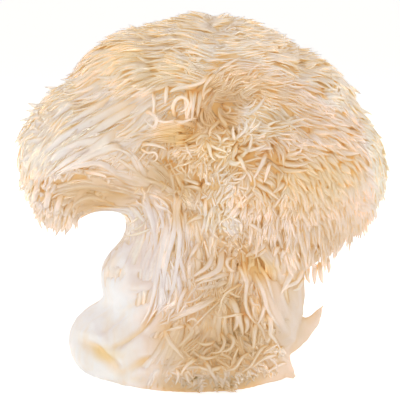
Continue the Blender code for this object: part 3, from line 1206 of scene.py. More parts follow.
@dataclass
class Coat(StrandPieces):
    """A coat of tufts that lie over each other. Each part of the mushroom has its own kind."""

    tracer: Tracer
    combing: Combing
    border: ManeBorder
    piece: str = ""
    split_y: float = INF
    growth: Growth = Growth.SHAGGY
    heading: Triple = (0, 0, -1)
    wander: float = 0.0
    wander_size: float = 1.0
    seed: int = 23
    spacing: float = 3.85
    knots: int = 6
    sides: int = 4
    momentum: float = 0.55
    start_back: float = 0.45
    lengths: Span = (0.75, 1.2)
    rises: Span = (0.6, 1.2)
    radii: Span = (0.8, 1.25)
    beats: Span = (0.8, 1.6)
    count_spread: float = 1.4
    pitch_spread: float = 0.2
    lift_spread: float = 0.14
    clump: float = 0.8
    clump_size: float = 7
    clump_place: Triple = (3, 9, 5)
    flyaways: float = 0.06
    flyaway_lift: float = 0.7
    flyaway_rises: Span = (0.5, 1.0)
    rise_power: float = 0.9
    dome: float = 0.05
    parting_stray: float = 0.0
    tone_low: float = 0.0

    def holds(self, place: Vector, normal: Vector) -> bool:
        """True where the coat's tufts have their roots."""
        raise NotImplementedError

    def habit(self, place: Vector) -> Habit:
        """The habit of the tufts at a place."""
        return self.growth.value

    def heading_at(self, place: Vector) -> Vector:
        """The way that the tufts at a place are combed, before it is laid along the skin."""
        return Vector(self.heading)

    def flow(self, place: Vector, normal: Vector) -> Vector:
        """The direction of the tufts at a place, as a unit vector along the skin."""
        flow = along_skin(self.heading_at(place), normal)
        return turned(flow, normal, self.wander * noise.noise(place / self.wander_size))

    def piece_at(self, place: Vector) -> str:
        """The name of the piece that the tufts at a place belong to."""
        return self.piece if place.y < self.split_y else f"{self.piece}_behind"

    def piece_knots(self, name: str) -> int:
        """How many knots the strands of a piece have."""
        return self.knots

    def roots(self) -> Iterator[tuple[Vector, Vector]]:
        """The places and normals that tufts grow at."""
        yield from even_roots(self.tracer.skin, self.spacing, self.chance, self.holds)

    def grow_tuft(self, mesh: StrandMesh, place: Vector, normal: Vector) -> None:
        """Grows one tuft: a traced line with fused spines beside each other along it.

        Args:
            mesh: The mesh that its spines are added to.
            place: A place on the skin near the tuft's root.
            normal: The skin's normal there.
        """
        chance = self.chance
        habit = self.habit(place)
        length = habit.length * chance.uniform(*self.lengths)
        lean = chance.gauss(0, habit.spread)
        curl = chance.gauss(0, habit.curl)
        aside = Vector((chance.gauss(0, self.parting_stray), 0, 0))
        last = turned(self.flow(place + aside, normal), normal, lean)

        def steer(at: Vector, facing: Vector, share: float) -> Vector:
            """The combing with the tuft's own curl, and some of its last direction."""
            nonlocal last
            flow = self.flow(at + aside * (1 - share), facing)
            flow = turned(flow, facing, lean + curl * share).lerp(last, self.momentum)
            last = along_skin(flow, facing)
            return last

        start = self.tracer.skin.nearest(place - last * length * self.start_back)
        line, normals = self.tracer.lay(
            *start, length, steer, lambda share: 0.0, mesh.knots, habit.hang
        )
        self.add_spines(mesh, np.array(line), np.array(normals), habit)

    def add_spines(
        self, mesh: StrandMesh, line: np.ndarray, normals: np.ndarray, habit: Habit
    ) -> None:
        """Adds a tuft's spines.

        Args:
            mesh: The mesh that they are added to.
            line: The tuft's middle line on the skin.
            normals: The skin's normal at each of its knots.
            habit: How the tuft grows.
        """
        chance = self.chance
        across = unit_rows(np.cross(np.gradient(line, axis=0), normals))
        clump = noise.noise(Vector(line[0]) / self.clump_size + Vector(self.clump_place))
        rise = habit.lift * (chance.uniform(*self.rises) + self.clump * clump)
        spread = self.count_spread
        count = max(2, round(habit.count + chance.uniform(-spread, spread)))
        tone = mixed(self.tone_low, 1, chance.random())
        for i in range(count):
            offset = (i - (count - 1) / 2) * habit.pitch
            offset += chance.gauss(0, self.pitch_spread * habit.pitch)
            shares = np.linspace(0, 1 - habit.jag * chance.random(), mesh.knots)
            out = shares**2
            beat = np.sin(math.tau * (shares * chance.uniform(*self.beats) + chance.random()))
            side = offset * (1 + habit.splay * out) + chance.gauss(0, habit.stray) * out
            side += habit.wave * beat
            own = rise + chance.gauss(0, self.lift_spread * habit.lift)
            if chance.random() < self.flyaways:
                own += chance.uniform(*self.flyaway_rises) * habit.lift * self.flyaway_lift
            height = habit.sink + (own - habit.sink) * shares**self.rise_power
            height -= self.dome * offset**2
            facing = along_line(normals, shares)
            points = along_line(line, shares) + facing * height[:, None]
            points += along_line(across, shares) * side[:, None]
            radii = tapered(habit.radius * chance.uniform(*self.radii), mesh.knots)
            mesh.add(points, facing, radii, habit.flat, chance.random(), tone)

    def build(self) -> None:
        """Grows all tufts, one mesh a piece."""
        pieces: dict[str, StrandMesh] = {}
        for place, normal in self.roots():
            name = self.piece_at(place)
            if name not in pieces:
                pieces[name] = StrandMesh(name, self.piece_knots(name), self.sides)
            self.grow_tuft(pieces[name], place, normal)
        self.objects = [mesh.build() for mesh in pieces.values()]


@dataclass
class Mane(Coat):
    """The spines of the head and of the lobe's outer side, in six pieces."""

    parting_stray: float = 7.0
    lobe_knots: int = 12
    lobe_zone: Zone = Zone(x=(-INF, -17), y=(-INF, 4))
    crown_z: float = 110
    back_y: float = 14
    back_share: float = 1.0
    low_z: float = 84
    right_x: float = 26
    slow_turn: float = 0.6
    slow_size: float = 11
    quick_turn: float = 0.4
    quick_size: float = 5
    quick_place: Triple = (7, 3, 1)
    swept: Fade = Fade(y=(6, -8))
    lobe_calm: float = 0.75
    whorl_spacing: float = 2.9
    whorl: Span = (5, 104)
    whorl_reach: Span = (12, 14)
    under_dome: Zone = Zone(x=(8, INF), z=(58, 76))

    def piece_at(self, place: Vector) -> str:
        """The lobe, the crown, the back in two parts, the right side or the face."""
        if self.lobe_zone.holds(place):
            return "mane_left_lobe"
        if place.z > self.crown_z:
            return "mane_crown"
        if place.y > self.back_y:
            return "mane_back" if place.z > self.low_z else "mane_back_low"
        return "mane_right_side" if place.x > self.right_x else "mane_face"

    def piece_knots(self, name: str) -> int:
        """The lobe's long bands have more knots."""
        return self.lobe_knots if name == "mane_left_lobe" else self.knots

    def habit(self, place: Vector) -> Habit:
        """Shaggy at the right, flat at the crown, fine above the whorl, swept on the lobe."""
        found = self.growth.value
        for patch in PATCHES:
            found = found.blended(patch.growth.value, patch.share(place))
        swept = self.combing.lobe.at(place) * self.swept.at(place)
        return found.blended(Growth.SWEPT.value, swept)

    def flow(self, place: Vector, normal: Vector) -> Vector:
        """The combing, with its slow change from tuft to tuft."""
        slow = noise.noise(place / self.slow_size)
        quick = noise.noise(place / self.quick_size + Vector(self.quick_place))
        calm = 1 - self.lobe_calm * self.combing.lobe.at(place)
        flow = self.combing.direction(place, normal)
        return turned(flow, normal, (self.slow_turn * slow + self.quick_turn * quick) * calm)

    def holds(self, place: Vector, normal: Vector) -> bool:
        """Above the mane's lower edge."""
        return self.border.holds(place, normal)

    def by_whorl(self, place: Vector, normal: Vector) -> bool:
        """True round the whorl and under the dome, where more tufts are needed."""
        (x, z), (wide, tall) = self.whorl, self.whorl_reach
        at_whorl = math.hypot((place.x - x) / wide, (place.z - z) / tall) < 1
        below = self.under_dome.holds(place) and self.border.holds(place, normal)
        return (at_whorl or below) and place.y < 0

    def roots(self) -> Iterator[tuple[Vector, Vector]]:
        """The places and normals that tufts grow at, more of them round the whorl."""
        for place, normal in super().roots():
            if place.y < self.back_y or self.chance.random() < self.back_share:
                yield place, normal
        skin, spacing = self.tracer.skin, self.whorl_spacing
        yield from even_roots(skin, spacing, self.chance, self.by_whorl)


@dataclass
class LobeTips(Coat):
    """The short blunt tips that hang from the lobe's lower rim, like the teeth of a comb."""

    piece: str = "lobe_tips"
    growth: Growth = Growth.LOBE_TIP
    heading: Triple = (-0.12, 0, -1)
    seed: int = 29
    spacing: float = 3.0
    start_back: float = 0.1
    tone_low: float = 0.3
    zone: Zone = Zone(x=(-INF, -46), z=(50, INF))
    facing: float = -0.05
    rim: Slope = Slope(64, 8, Fade(x=(-44, -54)))

    def holds(self, place: Vector, normal: Vector) -> bool:
        """On the underside of the lobe's end."""
        under = normal.z < self.facing and place.z < self.rim.at(place)
        return self.zone.holds(place) and under


@dataclass
class RimFringe(Coat):
    """Short tips that stand off the head where it turns away, and make its outline ragged."""

    piece: str = "rim_fringe"
    growth: Growth = Growth.FRINGE
    seed: int = 53
    spacing: float = 7.0
    start_back: float = 0.2
    lobe: Zone = Zone(x=(-INF, -42), y=(-30, 30), z=(66, INF))
    lobe_facing: float = -0.3
    rim: Zone = Zone(y=(-30, 30), z=(56, INF))
    rim_facing: Span = (-0.35, 0)

    def flow(self, place: Vector, normal: Vector) -> Vector:
        """The combing."""
        return self.combing.direction(place, normal)

    def holds(self, place: Vector, normal: Vector) -> bool:
        """On the lobe's outer side, and where the head's side and crown turn away."""
        away, across = self.rim_facing
        lobe = self.lobe.holds(place) and normal.x < self.lobe_facing
        rim = self.rim.holds(place) and away < normal.y < across
        return (lobe or rim) and self.border.holds(place, normal)


@dataclass
class ArchBands(Coat):
    """The smooth bands under the lobe, from the trunk over the arch to the lobe's end."""

    piece: str = "arch_bands"
    growth: Growth = Growth.BAND
    seed: int = 37
    spacing: float = 4.4
    knots: int = 16
    flyaways: float = 0.0
    start_back: float = 0.4
    zone: Zone = Zone(x=(-58, -14), y=(-36, 36), z=(62, INF))
    reach: float = 38

    def heading_at(self, place: Vector) -> Vector:
        """Round the arch."""
        return self.combing.round_arch(place)

    def holds(self, place: Vector, normal: Vector) -> bool:
        """Under the mane's edge, round the arch."""
        gap = math.hypot(place.x - self.combing.arch.x, place.z - self.combing.arch.z)
        beside = self.zone.holds(place) and gap < self.reach
        return beside and not self.border.holds(place, normal)


@dataclass
class TrunkFibres(Coat):
    """The long white fibres of the trunk, which fan out at its foot and bend over the arch."""

    piece: str = "trunk_fibres"
    split_y: float = 6
    growth: Growth = Growth.FIBRE
    seed: int = 31
    spacing: float = 4.6
    knots: int = 16
    flyaways: float = 0.03
    start_back: float = 0.5
    zone: Zone = Zone(z=(8, 84))
    bulge: Zone = Zone(x=(-INF, -17), y=(-INF, 10), z=(-INF, 45))
    flange: Zone = Zone(x=(20, INF), y=(-INF, 8))
    left_front: float = -30
    left_behind: float = -38
    behind_y: float = 10
    steepest: float = 0.8
    mane_gap: float = 4
    sway: float = 0.4
    sway_size: float = 13
    fan: Fade = Fade(x=(4, -14), z=(40, 14))
    fan_lean: float = 0.55
    over_arch: Fade = Fade(x=(-2, -20), z=(48, 62))

    def heading_at(self, place: Vector) -> Vector:
        """Up the trunk, leaning in from the foot, and over the arch at the left."""
        sway = self.sway * noise.noise(place / self.sway_size)
        climb = Vector((sway + self.fan_lean * self.fan.at(place), 0, 1)).normalized()
        return climb.lerp(self.combing.round_arch(place), self.over_arch.at(place))

    def holds(self, place: Vector, normal: Vector) -> bool:
        """On the trunk, off the smooth bulge and the flange."""
        if not self.zone.holds(place) or abs(normal.z) > self.steepest:
            return False
        if place.z > self.border.height(place) - self.mane_gap:
            return False
        left = self.left_behind if place.y > self.behind_y else self.left_front
        return place.x > left and not (self.bulge.holds(place) or self.flange.holds(place))


@dataclass
class Veil(Coat):
    """Thin curved strands that hang over the trunk's middle, from the head to the foot."""

    piece: str = "trunk_veil"
    growth: Growth = Growth.VEIL
    wander: float = 1.0
    wander_size: float = 8
    seed: int = 43
    spacing: float = 3.4
    knots: int = 9
    start_back: float = 0.3
    flyaways: float = 0.12
    zone: Zone = Zone(x=(-9, INF), y=(-INF, -12), z=(20, 66))
    right: Slope = Slope(16, 5, Fade(z=(40, 54)))
    lean: Slope = Slope(0.12, 0.6, Fade(z=(34, 18)))

    def heading_at(self, place: Vector) -> Vector:
        """Down, and away to the right near the foot."""
        return Vector((self.lean.at(place), 0, -1))

    def holds(self, place: Vector, normal: Vector) -> bool:
        """On the middle of the trunk's front, wider at its top."""
        return self.zone.holds(place) and place.x < self.right.at(place)


@dataclass
class RecessThreads(Coat):
    """Thin stray strands that branch and cross in the amber recess under the whorl."""

    piece: str = "recess_threads"
    growth: Growth = Growth.THREAD
    heading: Triple = (0.1, 0, -1)
    wander: float = 1.2
    wander_size: float = 6
    seed: int = 59
    spacing: float = 6.4
    knots: int = 9
    start_back: float = 0.2
    recess: Zone = Zone(x=(-26, 8), y=(-INF, -14), z=(62, 86))
    pocket: Zone = Zone(x=(4, 18), y=(-INF, -14), z=(34, 50))

    def holds(self, place: Vector, normal: Vector) -> bool:
        """In the recess and over the torn pocket."""
        return self.recess.holds(place) or self.pocket.holds(place)


@dataclass
class FootShag(Coat):
    """The shaggy curls over the foot's front and low on its back, combed sideways."""

    piece: str = "foot_shag"
    split_y: float = 6
    growth: Growth = Growth.FOOT
    heading: Triple = (0.85, 0, -0.5)
    wander: float = 1.3
    wander_size: float = 9
    seed: int = 47
    spacing: float = 3.3
    knots: int = 8
    start_back: float = 0.3
    flyaways: float = 0.1
    front: Zone = Zone(x=(-14, 28), y=(-INF, -8), z=(2, INF))
    behind: Zone = Zone(x=(-32, 30), y=(8, INF), z=(2, 22))
    top: Slope = Slope(14, 12, Fade(x=(-16, 8)))

    def holds(self, place: Vector, normal: Vector) -> bool:
        """On the foot's front, higher at its right, and lower on its back."""
        in_front = self.front.holds(place) and place.z < self.top.at(place)
        return in_front or self.behind.holds(place)


@dataclass
class WhorlCurls(StrandPieces):
    """Loose curls that cross each other at the whorl."""

    tracer: Tracer
    name: str = "whorl_curls"
    zone: Zone = Zone(x=(0, 16), y=(-60, -20), z=(82, 96))
    spacing: float = 3.4
    heading: Triple = (0.6, 0, -0.8)
    length: float = 11
    radius: float = 0.55
    flat: float = 1.1
    lift: float = 4.4
    sink: float = -1.2
    spread: float = 1.4
    curl: float = 3.6
    hang: float = 3
    curls: Span = (0.4, 1.0)
    rises: Span = (0.3, 1.2)
    lengths: Span = (0.6, 1.3)
    radii: Span = (0.7, 1.2)
    taper: Span = (0.8, 3.0)
    vault: Span = (2.2, 0.7)
    seed: int = 41
    knots: int = 10
    sides: int = 5

    def holds(self, place: Vector, normal: Vector) -> bool:
        """Inside the whorl's zone."""
        return self.zone.holds(place)

    def build(self) -> None:
        """Lays the curls."""
        mesh = StrandMesh(self.name, self.knots, self.sides)
        skin = self.tracer.skin
        for place, normal in even_roots(skin, self.spacing, self.chance, self.holds):
            self.add_curl(mesh, place, normal)
        self.objects = [mesh.build()]

    def add_curl(self, mesh: StrandMesh, place: Vector, normal: Vector) -> None:
        """Lays one curl.

        Args:
            mesh: The mesh that it is added to.
            place: Its root on the skin.
            normal: The skin's normal there.
        """
        chance = self.chance
        lean = chance.gauss(0, self.spread)
        curl = chance.choice((-1, 1)) * chance.uniform(*self.curls) * self.curl
        rise = self.lift * chance.uniform(*self.rises)
        heading = Vector(self.heading)

        def steer(at: Vector, facing: Vector, share: float) -> Vector:
            """The whorl's heading, turned more and more along the curl."""
            return turned(along_skin(heading, facing), facing, lean + curl * share)

        def lift(share: float) -> float:
            """Out of the skin, and a little down again at the tip."""
            turn, power = self.vault
            return mixed(self.sink, rise, math.sin(share * turn) ** power)

        length = self.length * chance.uniform(*self.lengths)
        knots = self.tracer.lay(place, normal, length, steer, lift, self.knots, self.hang)
        radii = tapered(self.radius * chance.uniform(*self.radii), self.knots, *self.taper)
        mesh.add(*knots, radii, self.flat, chance.random(), chance.random())


@dataclass(frozen=True)
class Drawn:
    """A strand, or a band of fused strands, drawn as the viewer sees it.

    Its places are mm across and up in the picture plane, from its root to its tip.
    """

    width: float
    lift: float
    places: tuple[Span, ...]


@dataclass
class DrawnStrands(StrandPieces):
    """Single strands and bands that the photograph shows, each laid where it is seen."""

    skin: Skin
    name: str
    drawn: tuple[Drawn, ...]
    fused: float
    flat: float
    seed: int = 61
    knots: int = 14
    sides: int = 6
    smooth_passes: int = 4
    overlap: float = 1.2
    jag: float = 0.16
    stagger: float = 0.15
    sink: float = -1.2
    radii: Span = (0.9, 1.1)
    taper: Span = (0.8, 4.0)
    rise: Span = (4, 0.7)
    least_tint: float = 0.4
    most_tone: float = 0.5

    def depth(self, sight: np.ndarray) -> float:
        """How far from the eye a line of sight meets the skin, or passes nearest to it."""
        eye = Vector(VIEWER.eye())
        hit, _, _, far = self.skin.tree.ray_cast(eye, Vector(sight))
        if hit:
            return far
        near, _ = self.skin.nearest(eye + Vector(sight) * VIEWER.distance)
        return (near - eye).dot(Vector(sight))

    def add_band(self, mesh: StrandMesh, drawn: Drawn) -> None:
        """Adds one drawn strand, or the fused strands of one band.

        Args:
            mesh: The mesh that they are added to.
            drawn: The strand or band.
        """
        chance = self.chance
        middle = smooth_curve(drawn.places, self.knots)
        far = np.array([self.depth(sight) for sight in VIEWER.sights(middle)])
        for _ in range(self.smooth_passes):
            far[1:-1] = (far[:-2] + 2 * far[1:-1] + far[2:]) / 4
        heading = unit_rows(np.gradient(middle, axis=0))
        aside = np.stack([-heading[:, 1], heading[:, 0]], axis=1)
        count = max(1, round(drawn.width / self.fused))
        width = drawn.width / count
        grid = np.linspace(0, 1, self.knots)
        steepness, power = self.rise
        for i in range(count):
            reach = 1 - self.jag * chance.random() * (count > 1)
            shares = np.linspace(0, reach, self.knots)
            offset = (i - (count - 1) / 2) * width + self.stagger * width * chance.uniform(-1, 1)
            height = mixed(self.sink, drawn.lift, np.minimum(1, shares * steepness) ** power)
            sights = VIEWER.sights(along_line(middle + offset * aside, shares))
            deep = (np.interp(shares, grid, far) - height)[:, None]
            radius = width / 2 / self.flat * self.overlap * chance.uniform(*self.radii)
            mesh.add(
                VIEWER.eye() + sights * deep,
                -sights,
                tapered(radius * far.mean() / VIEWER.distance, self.knots, *self.taper),
                self.flat,
                chance.uniform(self.least_tint, 1),
                chance.random() * self.most_tone,
            )

    def build(self) -> None:
        """Lays every drawn strand of the piece."""
        mesh = StrandMesh(self.name, self.knots, self.sides)
        for drawn in self.drawn:
            self.add_band(mesh, drawn)
        self.objects = [mesh.build()]


WHORL_LOOPS = all_drawn(
    Drawn,
    (1.31, 4.2, (-1.0, 111.8), (-1.7, 107.6), (-2.4, 102.2)),
    (1.22, 4.6, (-3.0, 111.8), (-3.7, 107.0), (-4.5, 100.9)),
    (1.22, 4.2, (-5.0, 111.8), (-4.4, 108.4), (-5.5, 104.9), (-6.1, 101.4)),
    (1.13, 3.6, (-6.4, 111.6), (-6.7, 107.0), (-6.4, 101.4)),
    (1.22, 4.8, (-10.4, 102.2), (-11.2, 105.9), (-10.1, 108.7), (-7.7, 109.6), (-5.9, 107.7),
     (-6.9, 105.3), (-9.0, 104.3)),
    (1.22, 4.0, (-13.6, 113.9), (-14.1, 110.2), (-14.5, 107.0)),
    (1.03, 3.8, (-18.5, 111.0), (-18.4, 107.0), (-18.8, 103.6)),
    (1.03, 4.6, (-21.6, 103.9), (-19.9, 103.8), (-17.9, 102.0), (-17.7, 100.0), (-18.8, 98.7),
     (-20.6, 100.0), (-22.1, 101.8)),
    (1.13, 4.0, (-18.1, 105.7), (-18.3, 102.9), (-16.9, 101.2), (-14.0, 100.6), (-10.9, 101.5)),
    (0.94, 4.2, (-11.2, 101.1), (-8.1, 100.3), (-5.0, 101.4), (-2.2, 101.8)),
    (0.84, 4.4, (-0.2, 105.3), (-0.8, 102.2), (0.6, 99.8), (3.2, 99.2)),
    (0.84, 4.2, (-2.7, 100.7), (-1.3, 98.7), (0.6, 97.9)),
    (1.13, 5.4, (8.6, 98.0), (7.7, 100.0), (6.3, 102.0), (5.4, 104.6)),
    (0.94, 5.0, (6.7, 101.4), (4.7, 99.7), (2.7, 97.5), (2.3, 94.8)),
    (1.03, 5.4, (11.9, 93.2), (11.0, 96.3), (11.3, 99.1)),
    (0.66, 5.0, (7.2, 106.7), (9.5, 105.9), (9.8, 104.3), (8.2, 103.7), (7.2, 104.7)),
    (1.13, 5.2, (1.1, 93.4), (2.3, 91.0), (2.9, 88.0), (4.8, 85.9)),
    (0.94, 5.2, (1.8, 92.7), (4.1, 90.9), (6.7, 90.0), (8.9, 89.0)),
    (1.03, 5.6, (6.7, 92.9), (8.3, 94.3), (9.7, 94.1)),
    (0.94, 5.0, (3.6, 89.3), (6.2, 87.5), (8.9, 87.8)),
    (1.87, 4.8, (9.3, 86.1), (11.4, 84.8), (13.6, 85.4)),
    (0.75, 4.4, (-6.9, 93.0), (-5.7, 89.6), (-3.8, 86.6)),
    (0.66, 3.4, (-2.8, 86.9), (-6.1, 84.9), (-9.4, 84.0), (-12.5, 82.4)),
    (0.56, 3.2, (-8.7, 84.2), (-7.7, 82.5), (-6.5, 81.1)),
    (0.84, 4.2, (-23.7, 90.8), (-21.0, 89.1), (-18.3, 89.2), (-17.2, 87.6), (-17.9, 86.0), (-19.4, 85.4)),
    (1.03, 3.4, (-23.2, 91.9), (-19.4, 91.9), (-15.7, 91.0), (-13.8, 89.9)),
    (1.03, 3.2, (-12.7, 83.2), (-11.7, 79.3), (-10.9, 75.6), (-10.9, 71.6)),
    (0.66, 3.2, (-7.7, 78.2), (-8.1, 74.8), (-8.9, 71.4)),
    (1.13, 5.0, (-1.3, 77.2), (-4.5, 78.3), (-7.6, 79.1)),
    (0.94, 4.6, (-0.8, 75.5), (-4.2, 76.3), (-7.4, 76.0)),
    (1.03, 5.2, (3.0, 77.2), (1.4, 77.9), (0.6, 79.4)),
    (1.22, 4.4, (13.0, 88.0), (14.6, 85.2), (15.7, 82.2)),
    (1.31, 4.4, (23.4, 88.7), (22.3, 85.7), (20.7, 82.5), (18.7, 79.0)),
    (1.13, 4.4, (24.9, 85.4), (23.8, 82.0), (22.6, 77.9)),
    (0.94, 4.2, (15.7, 82.9), (17.3, 80.4), (18.0, 78.0)),
    (1.03, 4.4, (13.4, 91.0), (16.8, 89.9), (20.6, 90.7), (23.8, 92.3)),
    (1.41, 4.2, (-2.9, 113.0), (-7.7, 113.2), (-10.8, 112.4), (-12.5, 111.3)),
    (1.22, 4.2, (1.4, 117.7), (-0.2, 115.6), (-4.5, 114.0), (-8.8, 114.3)),
    (1.03, 4.0, (4.0, 118.2), (1.8, 116.1), (0.2, 113.4), (-0.5, 109.7)),
    (0.94, 3.8, (3.0, 112.9), (0.7, 111.3), (-0.2, 108.4)),
)
TRUNK_BANDS = all_drawn(
    Drawn,
    (2.67, 0.7, (-23.2, 79.8), (-22.0, 75.6), (-21.8, 70.8), (-20.0, 66.5), (-18.4, 61.2),
     (-17.8, 54.8), (-18.8, 50.0)),
    (1.92, 0.6, (-28.0, 70.8), (-25.8, 68.1), (-23.2, 64.9), (-20.0, 61.2), (-17.8, 56.9)),
    (3.41, 1.1, (-13.3, 69.2), (-12.5, 62.8), (-14.0, 56.4), (-15.2, 48.9), (-16.8, 41.4),
     (-18.4, 33.4), (-20.5, 27.6), (-23.7, 23.0)),
    (2.13, 1.3, (-9.6, 76.6), (-10.6, 70.8), (-10.4, 64.9), (-11.4, 58.5), (-13.5, 51.0), (-15.1, 42.5),
     (-15.7, 35.0), (-19.1, 28.6)),
    (1.81, 1.6, (-6.9, 76.1), (-9.2, 70.8), (-9.8, 64.9), (-8.8, 58.5), (-9.3, 51.0), (-10.4, 44.6),
     (-11.4, 38.2), (-13.6, 33.4), (-18.1, 27.3)),
    (1.6, 1.4, (-7.7, 58.5), (-8.7, 51.0), (-7.7, 45.7), (-6.3, 40.8)),
    (1.07, 1.3, (-17.2, 68.6), (-15.8, 65.4), (-15.1, 61.2), (-15.2, 56.4)),
    (1.28, 1.6, (-18.4, 72.9), (-17.2, 69.6), (-13.6, 68.0), (-11.1, 65.6)),
    (1.28, 2.9, (0.9, 72.4), (0.8, 67.0), (1.9, 62.8), (3.6, 58.9), (6.5, 56.2)),
    (0.96, 3.0, (4.9, 65.4), (4.0, 61.6), (4.7, 58.6)),
    (0.85, 3.0, (6.8, 65.4), (5.9, 62.0), (6.3, 59.1)),
    (1.17, 3.5, (0.3, 65.4), (-3.3, 64.2), (-6.6, 62.1)),
    (1.07, 3.5, (8.3, 66.0), (11.5, 64.4), (14.5, 62.6)),
    (0.64, 2.4, (-1.0, 75.6), (-2.3, 72.2), (-3.2, 70.3)),
    (0.64, 2.4, (-3.2, 70.5), (-1.4, 67.7), (0.4, 65.8)),
    (1.17, 3.0, (-0.2, 74.7), (-4.0, 76.0), (-7.7, 76.4)),
    (0.96, 1.9, (7.0, 59.2), (10.9, 58.1), (12.7, 55.8), (10.4, 54.1), (7.0, 54.8)),
    (0.85, 2.2, (8.1, 58.7), (11.5, 57.4), (13.2, 53.8), (10.7, 52.4)),
    (0.75, 1.9, (5.9, 56.6), (9.4, 54.8), (11.8, 53.5)),
    (1.07, 2.1, (13.9, 62.2), (15.3, 58.6), (14.3, 55.3), (14.2, 52.6)),
    (1.28, 3.7, (23.8, 57.4), (20.5, 60.5), (17.5, 62.2), (15.1, 61.8)),
    (1.07, 2.9, (16.0, 69.7), (15.4, 66.0), (16.4, 63.0)),
    (0.85, 2.6, (23.0, 56.2), (20.0, 53.7), (18.4, 51.5), (15.5, 49.9)),
    (0.85, 2.7, (24.7, 53.5), (21.6, 52.1), (19.5, 50.0), (16.6, 49.6)),
    (2.24, 1.1, (6.5, 54.2), (6.4, 50.0), (5.6, 46.2), (3.0, 44.0), (-1.3, 42.3), (-5.0, 40.6)),
    (1.6, 1.0, (3.2, 53.7), (3.0, 48.9), (0.8, 45.6), (-2.4, 43.6), (-5.6, 41.1)),
    (1.39, 1.4, (-0.6, 56.4), (-3.3, 53.2), (-5.0, 50.0), (-6.2, 46.1)),
    (1.6, 1.1, (11.0, 43.7), (7.2, 43.4), (3.5, 42.0), (0.3, 41.2), (-2.9, 39.5)),
    (1.92, 0.8, (11.0, 42.0), (5.6, 39.5), (0.8, 38.4), (-3.4, 37.9)),
    (3.09, 1.6, (6.2, 36.3), (3.0, 34.5), (-1.3, 31.8), (-6.1, 29.6), (-10.9, 27.5), (-16.2, 25.3),
     (-22.1, 22.9)),
    (1.28, 2.1, (-5.8, 39.3), (-8.1, 35.0), (-9.3, 31.8), (-9.6, 28.6)),
    (0.96, 2.2, (12.1, 50.6), (9.3, 49.1), (8.7, 46.7), (10.9, 44.5), (12.2, 45.9)),
    (0.64, 0.6, (-26.7, 66.2), (-29.0, 67.4), (-31.0, 68.3)),
    (0.53, 0.6, (-26.4, 68.1), (-28.5, 69.3), (-30.7, 68.8)),
)
POCKET_STRANDS = all_drawn(
    Drawn,
    (1.37, 3.4, (18.3, 46.4), (19.5, 42.7), (21.5, 38.9), (22.7, 35.2), (23.7, 30.9), (26.7, 25.9),
     (29.8, 22.1), (33.3, 18.4)),
    (1.37, 3.8, (14.6, 50.1), (15.5, 44.5), (16.2, 39.6), (15.6, 34.6), (16.2, 30.2), (18.0, 27.1),
     (19.7, 24.9)),
    (1.0, 3.4, (13.1, 47.0), (14.9, 42.7), (15.7, 39.6)),
    (1.0, 3.4, (12.4, 49.8), (9.6, 49.5), (8.6, 47.9), (9.9, 45.7), (12.1, 44.7)),
    (0.87, 4.0, (14.9, 40.4), (10.9, 38.3), (8.4, 36.5), (6.8, 34.0), (6.0, 30.9), (4.8, 27.7)),
    (0.87, 4.0, (15.9, 29.1), (11.8, 28.4), (8.6, 27.7), (4.4, 27.4)),
    (0.68, 4.0, (9.1, 37.3), (11.8, 35.8), (14.0, 35.1)),
    (1.99, 3.0, (9.6, 35.2), (11.8, 30.9), (12.5, 26.5), (11.1, 22.4)),
    (1.87, 3.0, (12.4, 30.9), (14.0, 25.9), (15.0, 20.8)),
    (1.49, 3.0, (15.5, 28.4), (16.6, 24.6), (15.5, 21.5)),
    (1.37, 4.4, (20.0, 25.6), (19.2, 22.1), (19.0, 18.4), (18.7, 15.9)),
    (1.0, 4.0, (23.0, 32.7), (21.7, 28.4), (20.0, 24.6)),
    (0.75, 3.8, (19.3, 32.7), (18.6, 30.1), (19.7, 26.5)),
    (1.37, 3.6, (22.7, 29.6), (24.8, 26.5), (25.1, 23.4), (24.9, 21.2), (26.8, 18.9), (28.8, 15.3)),
    (0.81, 3.2, (17.2, 35.6), (18.6, 32.7), (21.3, 32.0)),
    (0.87, 3.0, (25.4, 17.4), (21.7, 15.9), (19.8, 12.8), (17.4, 9.1), (13.1, 6.3)),
    (0.75, 3.0, (13.5, 17.5), (11.8, 13.4), (10.4, 10.0)),
    (1.0, 2.6, (3.3, 24.0), (0.6, 20.3), (-2.3, 15.7)),
    (1.37, 3.2, (0.9, 11.0), (3.0, 7.2), (5.2, 3.5)),
    (0.62, 2.6, (22.1, 9.3), (23.3, 5.6)),
    (1.24, 2.0, (20.5, 47.7), (23.6, 42.1), (25.4, 35.8), (26.7, 30.9), (30.4, 24.6)),
    (1.12, 1.6, (18.0, 27.1), (21.7, 23.4), (23.6, 18.4)),
)
HEM_LOCKS = all_drawn(
    Drawn,
    (1.87, 3.4, (34.9, 49.5), (32.8, 43.9), (30.7, 39.8), (28.7, 36.2)),
    (1.49, 3.0, (37.0, 47.0), (35.4, 41.4), (31.7, 39.2), (29.4, 37.1)),
    (1.0, 3.0, (37.3, 42.1), (35.5, 38.4), (33.4, 37.6)),
    (0.5, 3.4, (32.0, 42.2), (30.4, 43.3), (29.3, 43.4)),
    (1.37, 3.4, (27.9, 54.5), (26.7, 51.4), (26.3, 49.0)),
    (1.37, 3.4, (30.4, 53.3), (29.2, 50.1), (29.2, 48.0)),
    (1.24, 3.4, (33.5, 52.6), (32.7, 50.1), (32.9, 48.0)),
    (1.62, 3.6, (23.0, 56.4), (21.7, 53.9), (17.4, 51.4), (15.7, 50.4)),
    (1.12, 3.6, (24.2, 53.3), (21.1, 50.8), (18.0, 49.2)),
    (1.62, 3.0, (41.6, 47.0), (41.4, 43.3), (41.5, 39.8)),
    (1.49, 3.0, (43.5, 47.7), (43.9, 43.3), (44.6, 40.2)),
    (1.37, 3.0, (46.0, 49.5), (46.6, 46.4), (46.6, 43.9)),
    (1.37, 3.0, (39.1, 45.8), (38.9, 42.7), (39.8, 40.2)),
)
